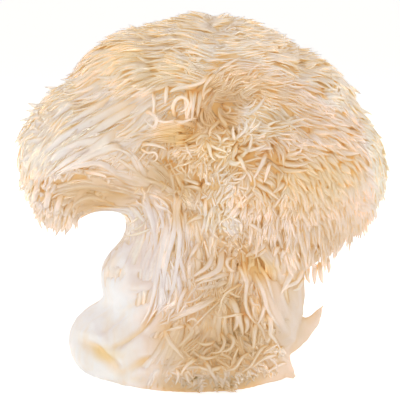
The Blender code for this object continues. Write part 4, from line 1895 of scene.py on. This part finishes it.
FOOT_CURLS = all_drawn(
    Drawn,
    (1.24, 3.4, (-6.8, 25.6), (-4.2, 22.4), (-6.8, 19.0), (-9.8, 16.2)),
    (1.49, 4.0, (-14.4, 22.8), (-12.5, 18.4), (-10.0, 15.3), (-7.3, 11.8)),
    (1.0, 3.6, (-6.8, 24.3), (-10.6, 23.5), (-14.2, 22.4)),
    (1.0, 3.0, (-10.0, 8.5), (-9.4, 5.4), (-10.6, 2.1)),
    (1.12, 3.0, (-2.6, 12.2), (-6.3, 9.7), (-8.8, 6.0)),
    (1.0, 3.2, (-1.3, 24.6), (-3.8, 27.1), (-6.3, 25.9)),
    (1.12, 3.2, (6.2, 22.1), (8.0, 18.4), (6.2, 14.7), (2.4, 14.1)),
    (1.12, 3.2, (8.6, 21.5), (11.1, 19.0), (9.9, 15.9), (6.8, 14.7)),
    (1.0, 3.0, (-1.9, 13.4), (1.2, 12.2), (5.5, 13.4)),
    (1.0, 3.0, (17.4, 14.7), (14.2, 12.2), (11.8, 8.5), (7.4, 7.2)),
    (1.0, 3.0, (27.9, 13.4), (23.0, 12.2), (18.0, 8.5)),
    (1.12, 3.0, (31.7, 11.0), (26.7, 9.1), (23.0, 6.6)),
    (1.0, 3.0, (4.3, 18.4), (0.6, 17.2), (-2.6, 18.4)),
    (1.24, 3.0, (6.8, 9.1), (2.4, 7.8), (-1.9, 9.1)),
)
LOBE_BANDS = all_drawn(
    Drawn,
    (3.11, 1.3, (-17.5, 113.0), (-28.7, 107.3), (-37.4, 102.4), (-46.1, 97.9), (-53.6, 93.6),
     (-59.8, 87.8), (-64.8, 81.6), (-66.9, 74.4)),
    (3.11, 1.1, (-19.3, 110.7), (-27.4, 104.9), (-34.9, 100.4), (-42.4, 94.8), (-48.6, 91.1),
     (-56.1, 86.1), (-61.0, 80.5), (-65.3, 71.1)),
    (3.11, 1.1, (-27.4, 100.4), (-33.7, 96.2), (-37.4, 93.1), (-42.4, 89.8), (-48.6, 87.4),
     (-54.8, 83.0), (-60.0, 79.0)),
    (3.11, 1.0, (-32.4, 97.9), (-38.6, 93.7), (-46.1, 92.3), (-53.6, 89.2), (-58.8, 84.7)),
    (2.74, 1.1, (-32.4, 110.5), (-39.9, 106.1), (-46.1, 102.3), (-50.5, 99.3), (-54.8, 97.1),
     (-62.3, 90.6)),
    (2.74, 1.1, (-41.7, 110.9), (-48.6, 107.3), (-53.6, 103.0), (-57.9, 100.4), (-65.0, 95.3)),
    (3.11, 0.8, (-27.4, 91.3), (-34.9, 90.5), (-41.1, 88.0), (-48.6, 84.2), (-55.1, 81.0)),
    (2.24, 1.1, (-26.4, 77.1), (-31.2, 80.6), (-34.9, 83.7), (-39.9, 85.5), (-46.1, 84.4),
     (-51.7, 82.5), (-56.3, 79.6)),
    (1.62, 0.9, (-22.1, 79.0), (-24.8, 83.1), (-27.3, 87.5), (-31.2, 89.8), (-37.4, 90.5)),
    (1.87, 0.9, (-19.0, 76.5), (-22.5, 81.9), (-24.9, 86.9), (-28.9, 90.7)),
    (2.61, 0.8, (-27.7, 73.7), (-33.7, 75.7), (-38.6, 76.9), (-45.5, 76.8), (-51.7, 75.5),
     (-57.3, 73.0), (-60.7, 69.1)),
    (2.24, 0.8, (-33.0, 70.6), (-37.4, 72.4), (-42.4, 73.0), (-47.3, 71.2), (-51.1, 66.8), (-53.8, 61.6)),
    (1.12, 2.4, (-44.5, 82.0), (-39.9, 81.3), (-36.5, 80.1), (-37.3, 78.9)),
    (1.99, 2.2, (-60.4, 79.4), (-62.3, 74.4), (-62.9, 69.4), (-61.7, 64.5), (-60.2, 60.2)),
    (1.99, 2.2, (-56.9, 77.1), (-58.4, 70.7), (-59.0, 64.5), (-58.2, 59.0)),
    (1.87, 2.2, (-52.6, 74.7), (-54.8, 68.2), (-55.9, 63.2), (-55.9, 59.2)),
    (1.74, 2.0, (-48.2, 72.2), (-51.6, 65.7), (-52.2, 62.0), (-52.6, 59.0)),
    (1.49, 1.8, (-46.1, 71.3), (-49.0, 65.1), (-50.3, 62.6), (-50.8, 59.1)),
    (1.87, 2.0, (-56.7, 105.5), (-62.3, 106.1), (-66.0, 107.3)),
    (1.62, 2.0, (-57.3, 103.7), (-62.3, 104.3), (-66.4, 104.8)),
    (1.87, 2.0, (-58.5, 102.4), (-64.1, 101.8), (-68.7, 100.9)),
    (1.62, 2.0, (-59.2, 99.9), (-64.1, 99.3), (-68.1, 99.5)),
    (1.49, 2.0, (-60.4, 96.8), (-64.8, 96.8), (-67.8, 97.6)),
    (1.74, 2.0, (-59.2, 93.9), (-65.4, 93.0), (-69.6, 93.4)),
    (2.12, 1.4, (-46.1, 111.5), (-53.6, 112.4), (-59.5, 113.4)),
    (1.62, 2.0, (-48.6, 110.1), (-54.2, 111.0), (-58.2, 111.4)),
    (1.62, 2.0, (-62.9, 89.3), (-67.3, 85.2), (-68.9, 81.6)),
    (1.62, 2.0, (-63.5, 83.1), (-67.4, 79.0), (-68.7, 75.9)),
    (1.49, 2.0, (-62.9, 78.1), (-66.3, 73.8), (-66.3, 70.8)),
    (1.49, 2.0, (-61.0, 75.7), (-63.9, 71.5), (-65.1, 69.6)),
)

FAN_BANDS = all_drawn(
    Drawn,
    (1.6, 1.3, (-1.2, 98.3), (-7.7, 100.3), (-13.6, 100.1), (-18.9, 98.4), (-23.0, 96.3)),
    (1.7, 1.5, (-6.6, 98.6), (-11.2, 99.1), (-16.3, 98.2), (-20.8, 96.7)),
    (1.6, 1.2, (-2.6, 96.9), (-9.8, 97.6), (-15.7, 96.9), (-21.5, 95.4), (-25.8, 94.6)),
    (1.6, 1.4, (-7.9, 96.1), (-12.4, 96.2), (-17.6, 95.4), (-22.2, 94.2)),
    (1.5, 1.0, (-1.9, 95.3), (-8.8, 94.9), (-14.1, 94.9), (-19.4, 94.1), (-24.0, 93.2)),
    (1.5, 1.2, (-6.2, 93.9), (-11.5, 93.4), (-16.4, 93.3), (-20.4, 92.7)),
    (1.4, 0.9, (-3.8, 92.9), (-10.2, 92.1), (-15.6, 91.8), (-21.6, 91.6)),
)


# Materials


class NodeTree:
    """Adds nodes to one node tree and links them."""

    def __init__(self, tree: bpy.types.NodeTree) -> None:
        """Keeps the tree."""
        self.tree = tree

    def add(self, kind: str, inputs: dict | None = None, **settings: object) -> bpy.types.Node:
        """Adds a node.

        Args:
            kind: Blender's name for the node's type, after ShaderNode.
            inputs: Values and links by socket name or number.
            **settings: The node's own properties.

        Returns:
            The new node.
        """
        node = self.tree.nodes.new("ShaderNode" + kind)
        for name, value in settings.items():
            setattr(node, name, value)
        self.fill(node, inputs or {})
        return node

    def fill(self, node: bpy.types.Node, inputs: dict) -> None:
        """Sets or links a node's inputs, by socket name or number."""
        for name, value in inputs.items():
            if isinstance(value, bpy.types.NodeSocket):
                self.tree.links.new(value, node.inputs[name])
            else:
                node.inputs[name].default_value = value

    def math(self, operation: str, *values: object) -> bpy.types.NodeSocket:
        """Adds a Math node and returns its result."""
        return self.add("Math", dict(enumerate(values)), operation=operation).outputs[0]

    def vector(self, operation: str, *values: object) -> bpy.types.NodeSocket:
        """Adds a Vector Math node and returns its vector."""
        return self.add("VectorMath", dict(enumerate(values)), operation=operation).outputs[0]

    def mix(self, share: object, a: object, b: object, blend: str = "MIX") -> bpy.types.NodeSocket:
        """Adds a colour Mix node and returns its result."""
        inputs = {0: share, 6: rgba(a), 7: rgba(b)}
        node = self.add("Mix", inputs, data_type="RGBA", blend_type=blend)
        return node.outputs[2]

    def times(self, a: object, b: object) -> bpy.types.NodeSocket:
        """Multiplies two colours and returns the result."""
        return self.mix(1.0, a, b, "MULTIPLY")

    def ranged(
        self, value: object, span: Span, to: Span = (0.0, 1.0), kind: str = "LINEAR"
    ) -> bpy.types.NodeSocket:
        """Adds a Map Range node and returns its result.

        Args:
            value: The value to map.
            span: The span that it comes from.
            to: The span that it goes to.
            kind: Blender's name for the interpolation.

        Returns:
            The mapped value.
        """
        ends = {"From Min": span[0], "From Max": span[1], "To Min": to[0], "To Max": to[1]}
        inputs = {"Value": value, **ends}
        return self.add("MapRange", inputs, interpolation_type=kind).outputs["Result"]

    def value(self, name: str) -> bpy.types.NodeSocket:
        """Reads one of the mesh's own attributes."""
        return self.add("Attribute", attribute_name=name).outputs["Fac"]


def rgba(colour: object) -> object:
    """Gives a plain colour its alpha, and lets a socket through."""
    if isinstance(colour, tuple) and len(colour) == 3:
        return (*colour, 1.0)
    return colour


def new_material(name: str) -> tuple[bpy.types.Material, NodeTree, bpy.types.Node]:
    """Starts a material, and returns it with its tree and its shader."""
    material = bpy.data.materials.new(name)
    material.use_nodes = True
    shader = material.node_tree.nodes["Principled BSDF"]
    return material, NodeTree(material.node_tree), shader


def new_group(name: str, inputs: dict[str, str], outputs: dict[str, str]) -> bpy.types.NodeTree:
    """Starts a shader node group.

    Args:
        name: The group's name.
        inputs: The type of each input socket, by name.
        outputs: The type of each output socket, by name.

    Returns:
        The group, with its input and output nodes named "in" and "out".
    """
    group = bpy.data.node_groups.new(name, "ShaderNodeTree")
    for direction, sockets in (("INPUT", inputs), ("OUTPUT", outputs)):
        for socket, kind in sockets.items():
            group.interface.new_socket(socket, in_out=direction, socket_type=kind)
    group.nodes.new("NodeGroupInput").name = "in"
    group.nodes.new("NodeGroupOutput").name = "out"
    return group


def blotch_group() -> bpy.types.NodeTree:
    """A soft patch of another colour round one place, with a ragged edge.

    Returns:
        The group, with Centre and Radii in metres, Ragged, and a Mask from 0 to 1.
    """
    group = new_group(
        "blotch",
        {"Centre": "NodeSocketVector", "Radii": "NodeSocketVector", "Ragged": "NodeSocketFloat"},
        {"Mask": "NodeSocketFloat"},
    )
    tree = NodeTree(group)
    given = group.nodes["in"].outputs
    place = tree.add("TexCoord").outputs["Object"]
    offset = tree.vector("SUBTRACT", place, given["Centre"])
    share = tree.vector("DIVIDE", offset, given["Radii"])
    length = tree.add("VectorMath", {0: share}, operation="LENGTH").outputs["Value"]
    rough = tree.add("TexNoise", {"Vector": place, "Scale": 140.0, "Detail": 3.0}).outputs["Fac"]
    stray = tree.math("MULTIPLY", tree.math("SUBTRACT", rough, 0.5), given["Ragged"])
    edge = (1.25, 0.45)
    mask = tree.ranged(tree.math("ADD", length, stray), edge, kind="SMOOTHSTEP")
    tree.fill(group.nodes["out"], {"Mask": mask})
    return group


def grain_group() -> bpy.types.NodeTree:
    """The fine fibrous grain of the flesh: streaks that run up the trunk.

    Returns:
        The group, with Scale and Stretch, a Streak and a Height.
    """
    group = new_group(
        "fibre_grain",
        {"Scale": "NodeSocketFloat", "Stretch": "NodeSocketVector"},
        {"Streak": "NodeSocketFloat", "Height": "NodeSocketFloat"},
    )
    tree = NodeTree(group)
    given = group.nodes["in"].outputs
    place = tree.add("TexCoord").outputs["Object"]
    drawn = tree.vector("MULTIPLY", place, given["Stretch"])
    coarse = {"Vector": drawn, "Scale": given["Scale"], "Detail": 4.0, "Distortion": 0.4}
    streak = tree.add("TexNoise", coarse).outputs["Fac"]
    finer, fine_share = 4.0, 0.4
    fine_scale = tree.math("MULTIPLY", given["Scale"], finer)
    fine = tree.add("TexNoise", {"Vector": drawn, "Scale": fine_scale, "Detail": 2.0})
    height = tree.math("MULTIPLY_ADD", fine.outputs["Fac"], fine_share, streak)
    tree.fill(group.nodes["out"], {"Streak": streak, "Height": height})
    return group


@dataclass(frozen=True)
class Blotch:
    """A place where the flesh has another colour: mostly its own tone, but some blotches are painted
    shade, a painted highlight or painted rim light.
    """

    centre: Triple
    radii: Triple
    colour: Colour
    strength: float = 1.0
    ragged: float = 0.5


TONES = tuple(
    Blotch(*row)
    for row in (
        ((-14, -15, 119), (34, 40, 20), (0.98, 0.82, 0.61)),
        # Painted rim light: near white along the crown's top edge.
        ((4, 0, 132), (36, 46, 14), (0.98, 0.96, 0.93)),
        ((29, -12, 121), (26, 36, 16), (0.98, 0.86, 0.75)),
        ((-28, -34, 99), (24, 20, 16), (0.98, 0.83, 0.67)),
        ((-55, -10, 94), (20, 36, 22), (0.98, 0.93, 0.86)),
        ((-54, -10, 68), (14, 30, 14), (0.94, 0.79, 0.65)),
        ((16, -42, 110), (20, 20, 11), (0.93, 0.72, 0.52)),
        # Painted highlight on the bright tufts right of the whorl.
        ((22, -44, 101), (15, 14, 7), (0.98, 0.89, 0.77)),
        # Painted shade in the whorl's crevice.
        ((4, -46, 102), (10, 12, 7), (0.72, 0.51, 0.33)),
        ((7, -46, 90), (12, 12, 9), (0.98, 0.81, 0.60)),
        ((4, -42, 79), (9, 12, 9), (0.98, 0.87, 0.73), 0.8),
        # Painted shade in the recess under the whorl.
        ((-10, -34, 81), (14, 16, 11), (0.73, 0.56, 0.39)),
        ((-4, -36, 86), (9, 14, 8), (0.95, 0.76, 0.56)),
        ((6, -34, 66), (10, 14, 9), (0.98, 0.93, 0.87)),
        # Painted shade under the lobe, above the arch.
        ((-39, -12, 76), (18, 28, 11), (0.71, 0.50, 0.31)),
        ((-28, -6, 54), (12, 24, 18), (0.98, 0.98, 0.98)),
        ((-16, -24, 51), (13, 20, 26), (0.93, 0.83, 0.75)),
        ((6, -28, 47), (12, 14, 18), (0.92, 0.76, 0.61)),
        ((-37, -12, 28), (20, 24, 22), (0.98, 0.98, 0.98)),
        ((-37, -12, 10), (24, 30, 16), (0.98, 0.97, 0.95)),
        # Painted shade in the fold low on the left bulge.
        ((-36, -22, 13), (7, 10, 4), (0.96, 0.86, 0.66), 0.9),
        ((6, -28, 18), (26, 14, 12), (0.79, 0.63, 0.46)),
        # Painted shade in the torn pocket.
        ((8, -28, 35), (9, 10, 8), (0.82, 0.66, 0.48), 0.8),
        # Painted shadow under the mane's hem, above the flange.
        ((21, -24, 48), (9, 12, 6), (0.94, 0.70, 0.44), 0.9),
        ((30, -12, 29), (12, 18, 22), (0.83, 0.74, 0.63)),
        # Painted rim light: paler along the head's right and left outlines.
        ((64, 0, 88), (10, 40, 26), (0.95, 0.90, 0.86)),
        ((52, 0, 112), (16, 40, 12), (0.98, 0.98, 0.98)),
        ((-68, -4, 84), (8, 40, 22), (0.98, 0.97, 0.98)),
        # Painted shade in the whorl's hollows, under the fan of strands.
        ((-9, -46, 96), (9, 16, 5), (0.81, 0.57, 0.33)),
        # Painted shade in the recess where the lobe meets the trunk.
        ((-28, -18, 80), (12, 20, 9), (0.71, 0.51, 0.33)),
        ((34, -36, 80), (26, 20, 12), (0.91, 0.70, 0.47)),
        ((38, -26, 58), (24, 26, 11), (0.86, 0.70, 0.55)),
        # Painted shade in the crevice above the whorl.
        ((6, -44, 109), (10, 14, 6), (0.78, 0.58, 0.40), 0.9),
        # Painted shade low in the recess under the whorl.
        ((-9, -34, 64), (10, 14, 7), (0.78, 0.60, 0.42), 0.8),
        ((5, -26, 4), (26, 12, 5), (0.68, 0.60, 0.50), 0.9),
    )
)
BASE_TONE = (0.955, 0.775, 0.617)


def tone_group(blotch: bpy.types.NodeTree) -> bpy.types.NodeTree:
    """The flesh's colour from place to place, the same for the flesh and every strand, with painted
    shade, a painted highlight and painted rim light in some of its blotches.

    Args:
        blotch: The blotch group.

    Returns:
        The group, with the Base colour and the painted Colour.
    """
    group = new_group("place_tone", {"Base": "NodeSocketColor"}, {"Colour": "NodeSocketColor"})
    tree = NodeTree(group)
    colour = group.nodes["in"].outputs["Base"]
    for patch in TONES:
        centre, radii = Vector(patch.centre) * MM, Vector(patch.radii) * MM
        inputs = {"Centre": centre, "Radii": radii, "Ragged": patch.ragged}
        mask = tree.add("Group", inputs, node_tree=blotch).outputs["Mask"]
        colour = tree.mix(tree.math("MULTIPLY", mask, patch.strength), colour, patch.colour)
    tree.fill(group.nodes["out"], {"Colour": colour})
    return group


@dataclass(frozen=True)
class SpineFinish:
    """Soft pale strands, with painted amber shade at their roots, along their sides and where they crowd.
    """

    name: str
    tip_shade: Colour = (0.91, 0.99, 1.10)
    # Painted amber shade towards each strand's root, where the strands crowd.
    root: Colour = (1.02, 0.80, 0.50)
    root_reach: float = 0.35
    warm: Colour = (1.0, 0.93, 0.80)
    warm_share: float = 0.5
    palest: Colour = (0.90, 0.83, 0.725)
    # Painted amber shade along each strand's sides, fading out towards its crest.
    groove: Colour = (1.08, 0.93, 0.68)
    groove_depth: float = 0.35
    groove_crest: float = 0.8
    # Painted amber shade in the gaps, where an ambient occlusion test finds other strands near.
    gap: Colour = (1.04, 0.87, 0.62)
    gap_reach_mm: float = 4.0
    gap_open: Span = (0.05, 0.5)
    gap_samples: int = 8
    tint_spread: float = 0.08
    brightest: Colour = (1.0, 0.97, 0.93)
    roughness: float = 0.6
    glow: float = 0.85
    glow_reach_mm: float = 1.6

    def build(self, tone: bpy.types.NodeTree) -> bpy.types.Material:
        """Makes the material.

        Args:
            tone: The group that gives the flesh's colour from place to place.

        Returns:
            The material.
        """
        material, tree, shader = new_material(self.name)
        along, tint, warmth, crest = (
            tree.value(name) for name in ("along", "tint", "tone", "crest")
        )
        tone_node = tree.add("Group", {"Base": rgba(BASE_TONE)}, node_tree=tone)
        painted = tone_node.outputs["Colour"]
        tip = tree.times(painted, self.tip_shade)
        warmed = tree.times(tip, self.warm)
        tip = tree.mix(tree.math("MULTIPLY", warmth, self.warm_share), tip, warmed)
        tip = tree.mix(1.0, tip, self.palest, "DARKEN")
        # Painted shade: amber towards the root.
        deep = tree.times(painted, self.root)
        grown = tree.ranged(along, (0.0, self.root_reach), kind="SMOOTHSTEP")
        colour = tree.mix(grown, deep, tip)
        # Painted shade along the strand's sides.
        side = tree.ranged(crest, (0.0, self.groove_crest), (self.groove_depth, 0.0))
        colour = tree.mix(side, colour, tree.times(colour, self.groove))
        # Painted shade where ambient occlusion finds the strands crowded.
        reach = {"Distance": self.gap_reach_mm * MM}
        light = tree.add("AmbientOcclusion", reach, samples=self.gap_samples)
        is_open = tree.ranged(light.outputs["AO"], self.gap_open)
        colour = tree.mix(is_open, tree.times(colour, self.gap), colour)
        shades = (1 - self.tint_spread, 1 + 0.5 * self.tint_spread)
        shade = tree.ranged(tint, (0.0, 1.0), shades)
        bright = tree.add("CombineColor", {0: shade, 1: shade, 2: shade})
        colour = tree.times(colour, bright.outputs[0])
        colour = tree.mix(1.0, colour, self.brightest, "DARKEN")
        finish_shader(tree, shader, colour, self)
        return material


@dataclass(frozen=True)
class FleshFinish:
    """Smooth moist flesh with a faint fibrous grain, and painted amber shade under the spines, under the
    head and in the creases.
    """

    name: str
    crease: Colour = (0.98, 0.92, 0.82)
    # Painted amber shade, given by each place's painted shade value.
    under: Colour = (0.98, 0.85, 0.66)
    roughness: float = 0.5
    grain_scale: float = 160.0
    grain_stretch: Triple = (1.0, 1.0, 0.22)
    crease_streaks: Span = (0.52, 0.30)
    bump: float = 0.35
    glow: float = 0.5
    glow_reach_mm: float = 0.9

    def build(self, tone: bpy.types.NodeTree, grain: bpy.types.NodeTree) -> bpy.types.Material:
        """Makes the material.

        Args:
            tone: The group that gives the flesh's colour from place to place.
            grain: The fibrous grain group.

        Returns:
            The material.
        """
        material, tree, shader = new_material(self.name)
        grown = {"Scale": self.grain_scale, "Stretch": self.grain_stretch}
        fibres = tree.add("Group", grown, node_tree=grain).outputs
        tone_node = tree.add("Group", {"Base": rgba(BASE_TONE)}, node_tree=tone)
        colour = tone_node.outputs["Colour"]
        low = tree.ranged(fibres["Streak"], self.crease_streaks)
        colour = tree.mix(low, colour, tree.times(colour, self.crease))
        # Painted shade under the spines, under the head and in the creases.
        colour = tree.mix(tree.value("painted_shade"), colour, tree.times(colour, self.under))
        relief = {"Strength": self.bump, "Distance": MM, "Height": fibres["Height"]}
        tree.fill(shader, {"Normal": tree.add("Bump", relief).outputs["Normal"]})
        finish_shader(tree, shader, colour, self)
        return material


def finish_shader(
    tree: NodeTree,
    shader: bpy.types.Node,
    colour: bpy.types.NodeSocket,
    finish: SpineFinish | FleshFinish,
) -> None:
    """Gives a shader its colour, and what is the same all over its finish.

    Args:
        tree: The material's tree.
        shader: Its Principled BSDF.
        colour: Its colour.
        finish: The finish, for its roughness and its glow.
    """
    shader.subsurface_method = "BURLEY"
    values = {
        "Base Color": colour,
        "Roughness": finish.roughness,
        "Specular IOR Level": 0.0,
        "Subsurface Weight": finish.glow,
        "Subsurface Radius": (1.0, 1.0, 1.0),
        "Subsurface Scale": finish.glow_reach_mm * MM,
    }
    tree.fill(shader, values)


# The studio


@dataclass(frozen=True)
class Softbox:
    """A soft rectangular light that looks at the mushroom."""

    name: str
    place_m: Triple
    size_m: float
    watts: float
    colour: Colour = (1.0, 1.0, 1.0)

    def build(self, target: Vector) -> None:
        """Adds the light.

        Args:
            target: The place that it looks at, in metres.
        """
        bpy.ops.object.light_add(type="AREA", location=self.place_m)
        light = bpy.context.object
        light.name = self.name
        light.data.size = self.size_m
        light.data.energy = self.watts
        light.data.color = self.colour
        light.rotation_euler = (target - Vector(self.place_m)).to_track_quat("-Z", "Y").to_euler()


TONE_CURVES = (
    ((0.30, 0.365), (0.53, 0.602), (0.78, 0.777), (0.95, 0.918)),
    ((0.34, 0.355), (0.57, 0.56), (0.74, 0.715), (0.93, 0.91)),
    ((0.19, 0.16), (0.39, 0.365), (0.55, 0.555), (0.80, 0.80)),
)


@dataclass
class Studio:
    """A pale floor, soft light from all round, and the camera with its soft tone curve."""

    lens_mm: float = 154.3
    floor_m: float = 30
    floor_colour: Colour = (0.95, 0.95, 0.95)
    floor_glow: float = 0.45
    floor_bounce: float = 0.18
    world_strength: float = 0.53
    sky_colour: Colour = (1.0, 0.955, 0.905)
    zenith: float = 0.65
    backdrop_strength: float = 1.1
    softboxes: tuple[Softbox, ...] = (
        Softbox("key_light", (-0.05, -1.0, 0.26), 0.5, 2.9, (1.0, 0.97, 0.93)),
        Softbox("back_light", (0.2, 0.9, 0.8), 0.9, 3.0, (1.0, 0.98, 0.95)),
        Softbox("rim_left", (-0.95, 0.30, 0.30), 0.8, 4.2, (1.0, 0.98, 0.95)),
        Softbox("rim_right", (0.95, 0.30, 0.30), 0.8, 4.2, (1.0, 0.98, 0.95)),
    )

    def build_floor(self) -> None:
        """Adds the floor."""
        bpy.ops.mesh.primitive_plane_add(size=self.floor_m)
        floor = bpy.context.object
        floor.name = "studio_floor"
        paper, tree, shader = new_material("pale_paper")
        seen = tree.add("LightPath").outputs["Is Camera Ray"]
        glow = tree.math("MULTIPLY", seen, self.floor_glow)
        values = {
            "Base Color": (*self.floor_colour, 1),
            "Roughness": 0.9,
            "Specular IOR Level": 0.1,
            "Emission Color": (1, 1, 1, 1),
            "Emission Strength": tree.math("ADD", glow, self.floor_bounce),
        }
        tree.fill(shader, values)
        floor.data.materials.append(paper)
        floor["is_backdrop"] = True

    def build_world(self) -> None:
        """Fills the studio with even pale light."""
        world = bpy.data.worlds.new("studio_world")
        world.use_nodes = True
        tree = NodeTree(world.node_tree)
        ray = tree.add("TexCoord").outputs["Generated"]
        height = tree.add("SeparateXYZ", {0: ray}).outputs["Z"]
        level = tree.ranged(height, (0.0, 1.0), (1.0, self.zenith))
        level = tree.math("MULTIPLY", level, self.world_strength)
        sky = tree.add("Background", {"Color": (*self.sky_colour, 1), "Strength": level})
        white = {"Color": (1, 1, 1, 1), "Strength": self.backdrop_strength}
        paper = tree.add("Background", white)
        seen = tree.add("LightPath").outputs["Is Camera Ray"]
        both = tree.add("MixShader", {0: seen, 1: sky.outputs[0], 2: paper.outputs[0]})
        tree.fill(world.node_tree.nodes["World Output"], {"Surface": both.outputs[0]})
        bpy.context.scene.world = world

    def build_camera(self) -> None:
        """Adds the camera at the photograph's angle."""
        ahead = Vector(VIEWER.axes()[2])
        bpy.ops.object.camera_add(location=Vector(VIEWER.eye()) * MM)
        camera = bpy.context.object
        camera.name = "studio_camera"
        camera.rotation_euler = ahead.to_track_quat("-Z", "Y").to_euler()
        camera.data.lens = self.lens_mm
        camera.data.clip_start = 0.01
        bpy.context.scene.camera = camera

    def build(self) -> None:
        """Builds the whole studio."""
        self.build_floor()
        self.build_world()
        for softbox in self.softboxes:
            softbox.build(Vector(VIEWER.target) * MM)
        self.build_camera()
        view = bpy.context.scene.view_settings
        view.view_transform = "Standard"
        view.use_curve_mapping = True
        for curve, places in zip(view.curve_mapping.curves, TONE_CURVES):
            for place in places:
                curve.points.new(*place)
        view.curve_mapping.update()


def write_size() -> None:
    boxes = {"cad": CAD_BOX, "visual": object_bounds()}
    {name: [list(corner) for corner in box] for name, box in boxes.items()}


def main() -> None:
    """Builds and dresses the mushroom, piece by piece, and then the studio."""
    logging.basicConfig(level=logging.INFO, format="%(name)s: %(message)s")
    blotch = blotch_group()
    grain = grain_group()
    tone = tone_group(blotch)
    combing = Combing()
    border = ManeBorder()
    flesh = Flesh(combing, border)
    tracer = Tracer(flesh.build())
    flesh.dress(FleshFinish("moist_flesh").build(tone, grain))

    ivory = SpineFinish("ivory_spines").build(tone)
    # The pale spines' third colour is a lighter painted root shade.
    pale = SpineFinish(
        "pale_spines", (0.97, 1.04, 1.12), (1.0, 0.90, 0.76), palest=(0.94, 0.89, 0.815)
    ).build(tone)
    for kind in (Mane, LobeTips, RimFringe, ArchBands, TrunkFibres, RecessThreads, Veil, FootShag):
        coat = kind(tracer, combing, border)
        coat.build()
        coat.dress(pale if kind in (ArchBands, TrunkFibres) else ivory)
    curls = WhorlCurls(tracer)
    curls.build()
    curls.dress(ivory)
    for name, drawn, fused, flat in (
        ("whorl_loops", WHORL_LOOPS, 2.4, 1.25),
        ("trunk_bands", TRUNK_BANDS, 1.8, 1.7),
        ("pocket_strands", POCKET_STRANDS, 2.0, 1.4),
        ("hem_locks", HEM_LOCKS, 1.3, 1.8),
        ("foot_curls", FOOT_CURLS, 1.6, 1.5),
        ("lobe_bands", LOBE_BANDS, 4.0, 3.2),
        ("fan_bands", FAN_BANDS, 0.6, 2.6),
    ):
        strands = DrawnStrands(tracer.skin, name, drawn, fused, flat)
        strands.build()
        strands.dress(pale)

    Studio().build()
    write_size()


if __name__ == "__main__":
    main()
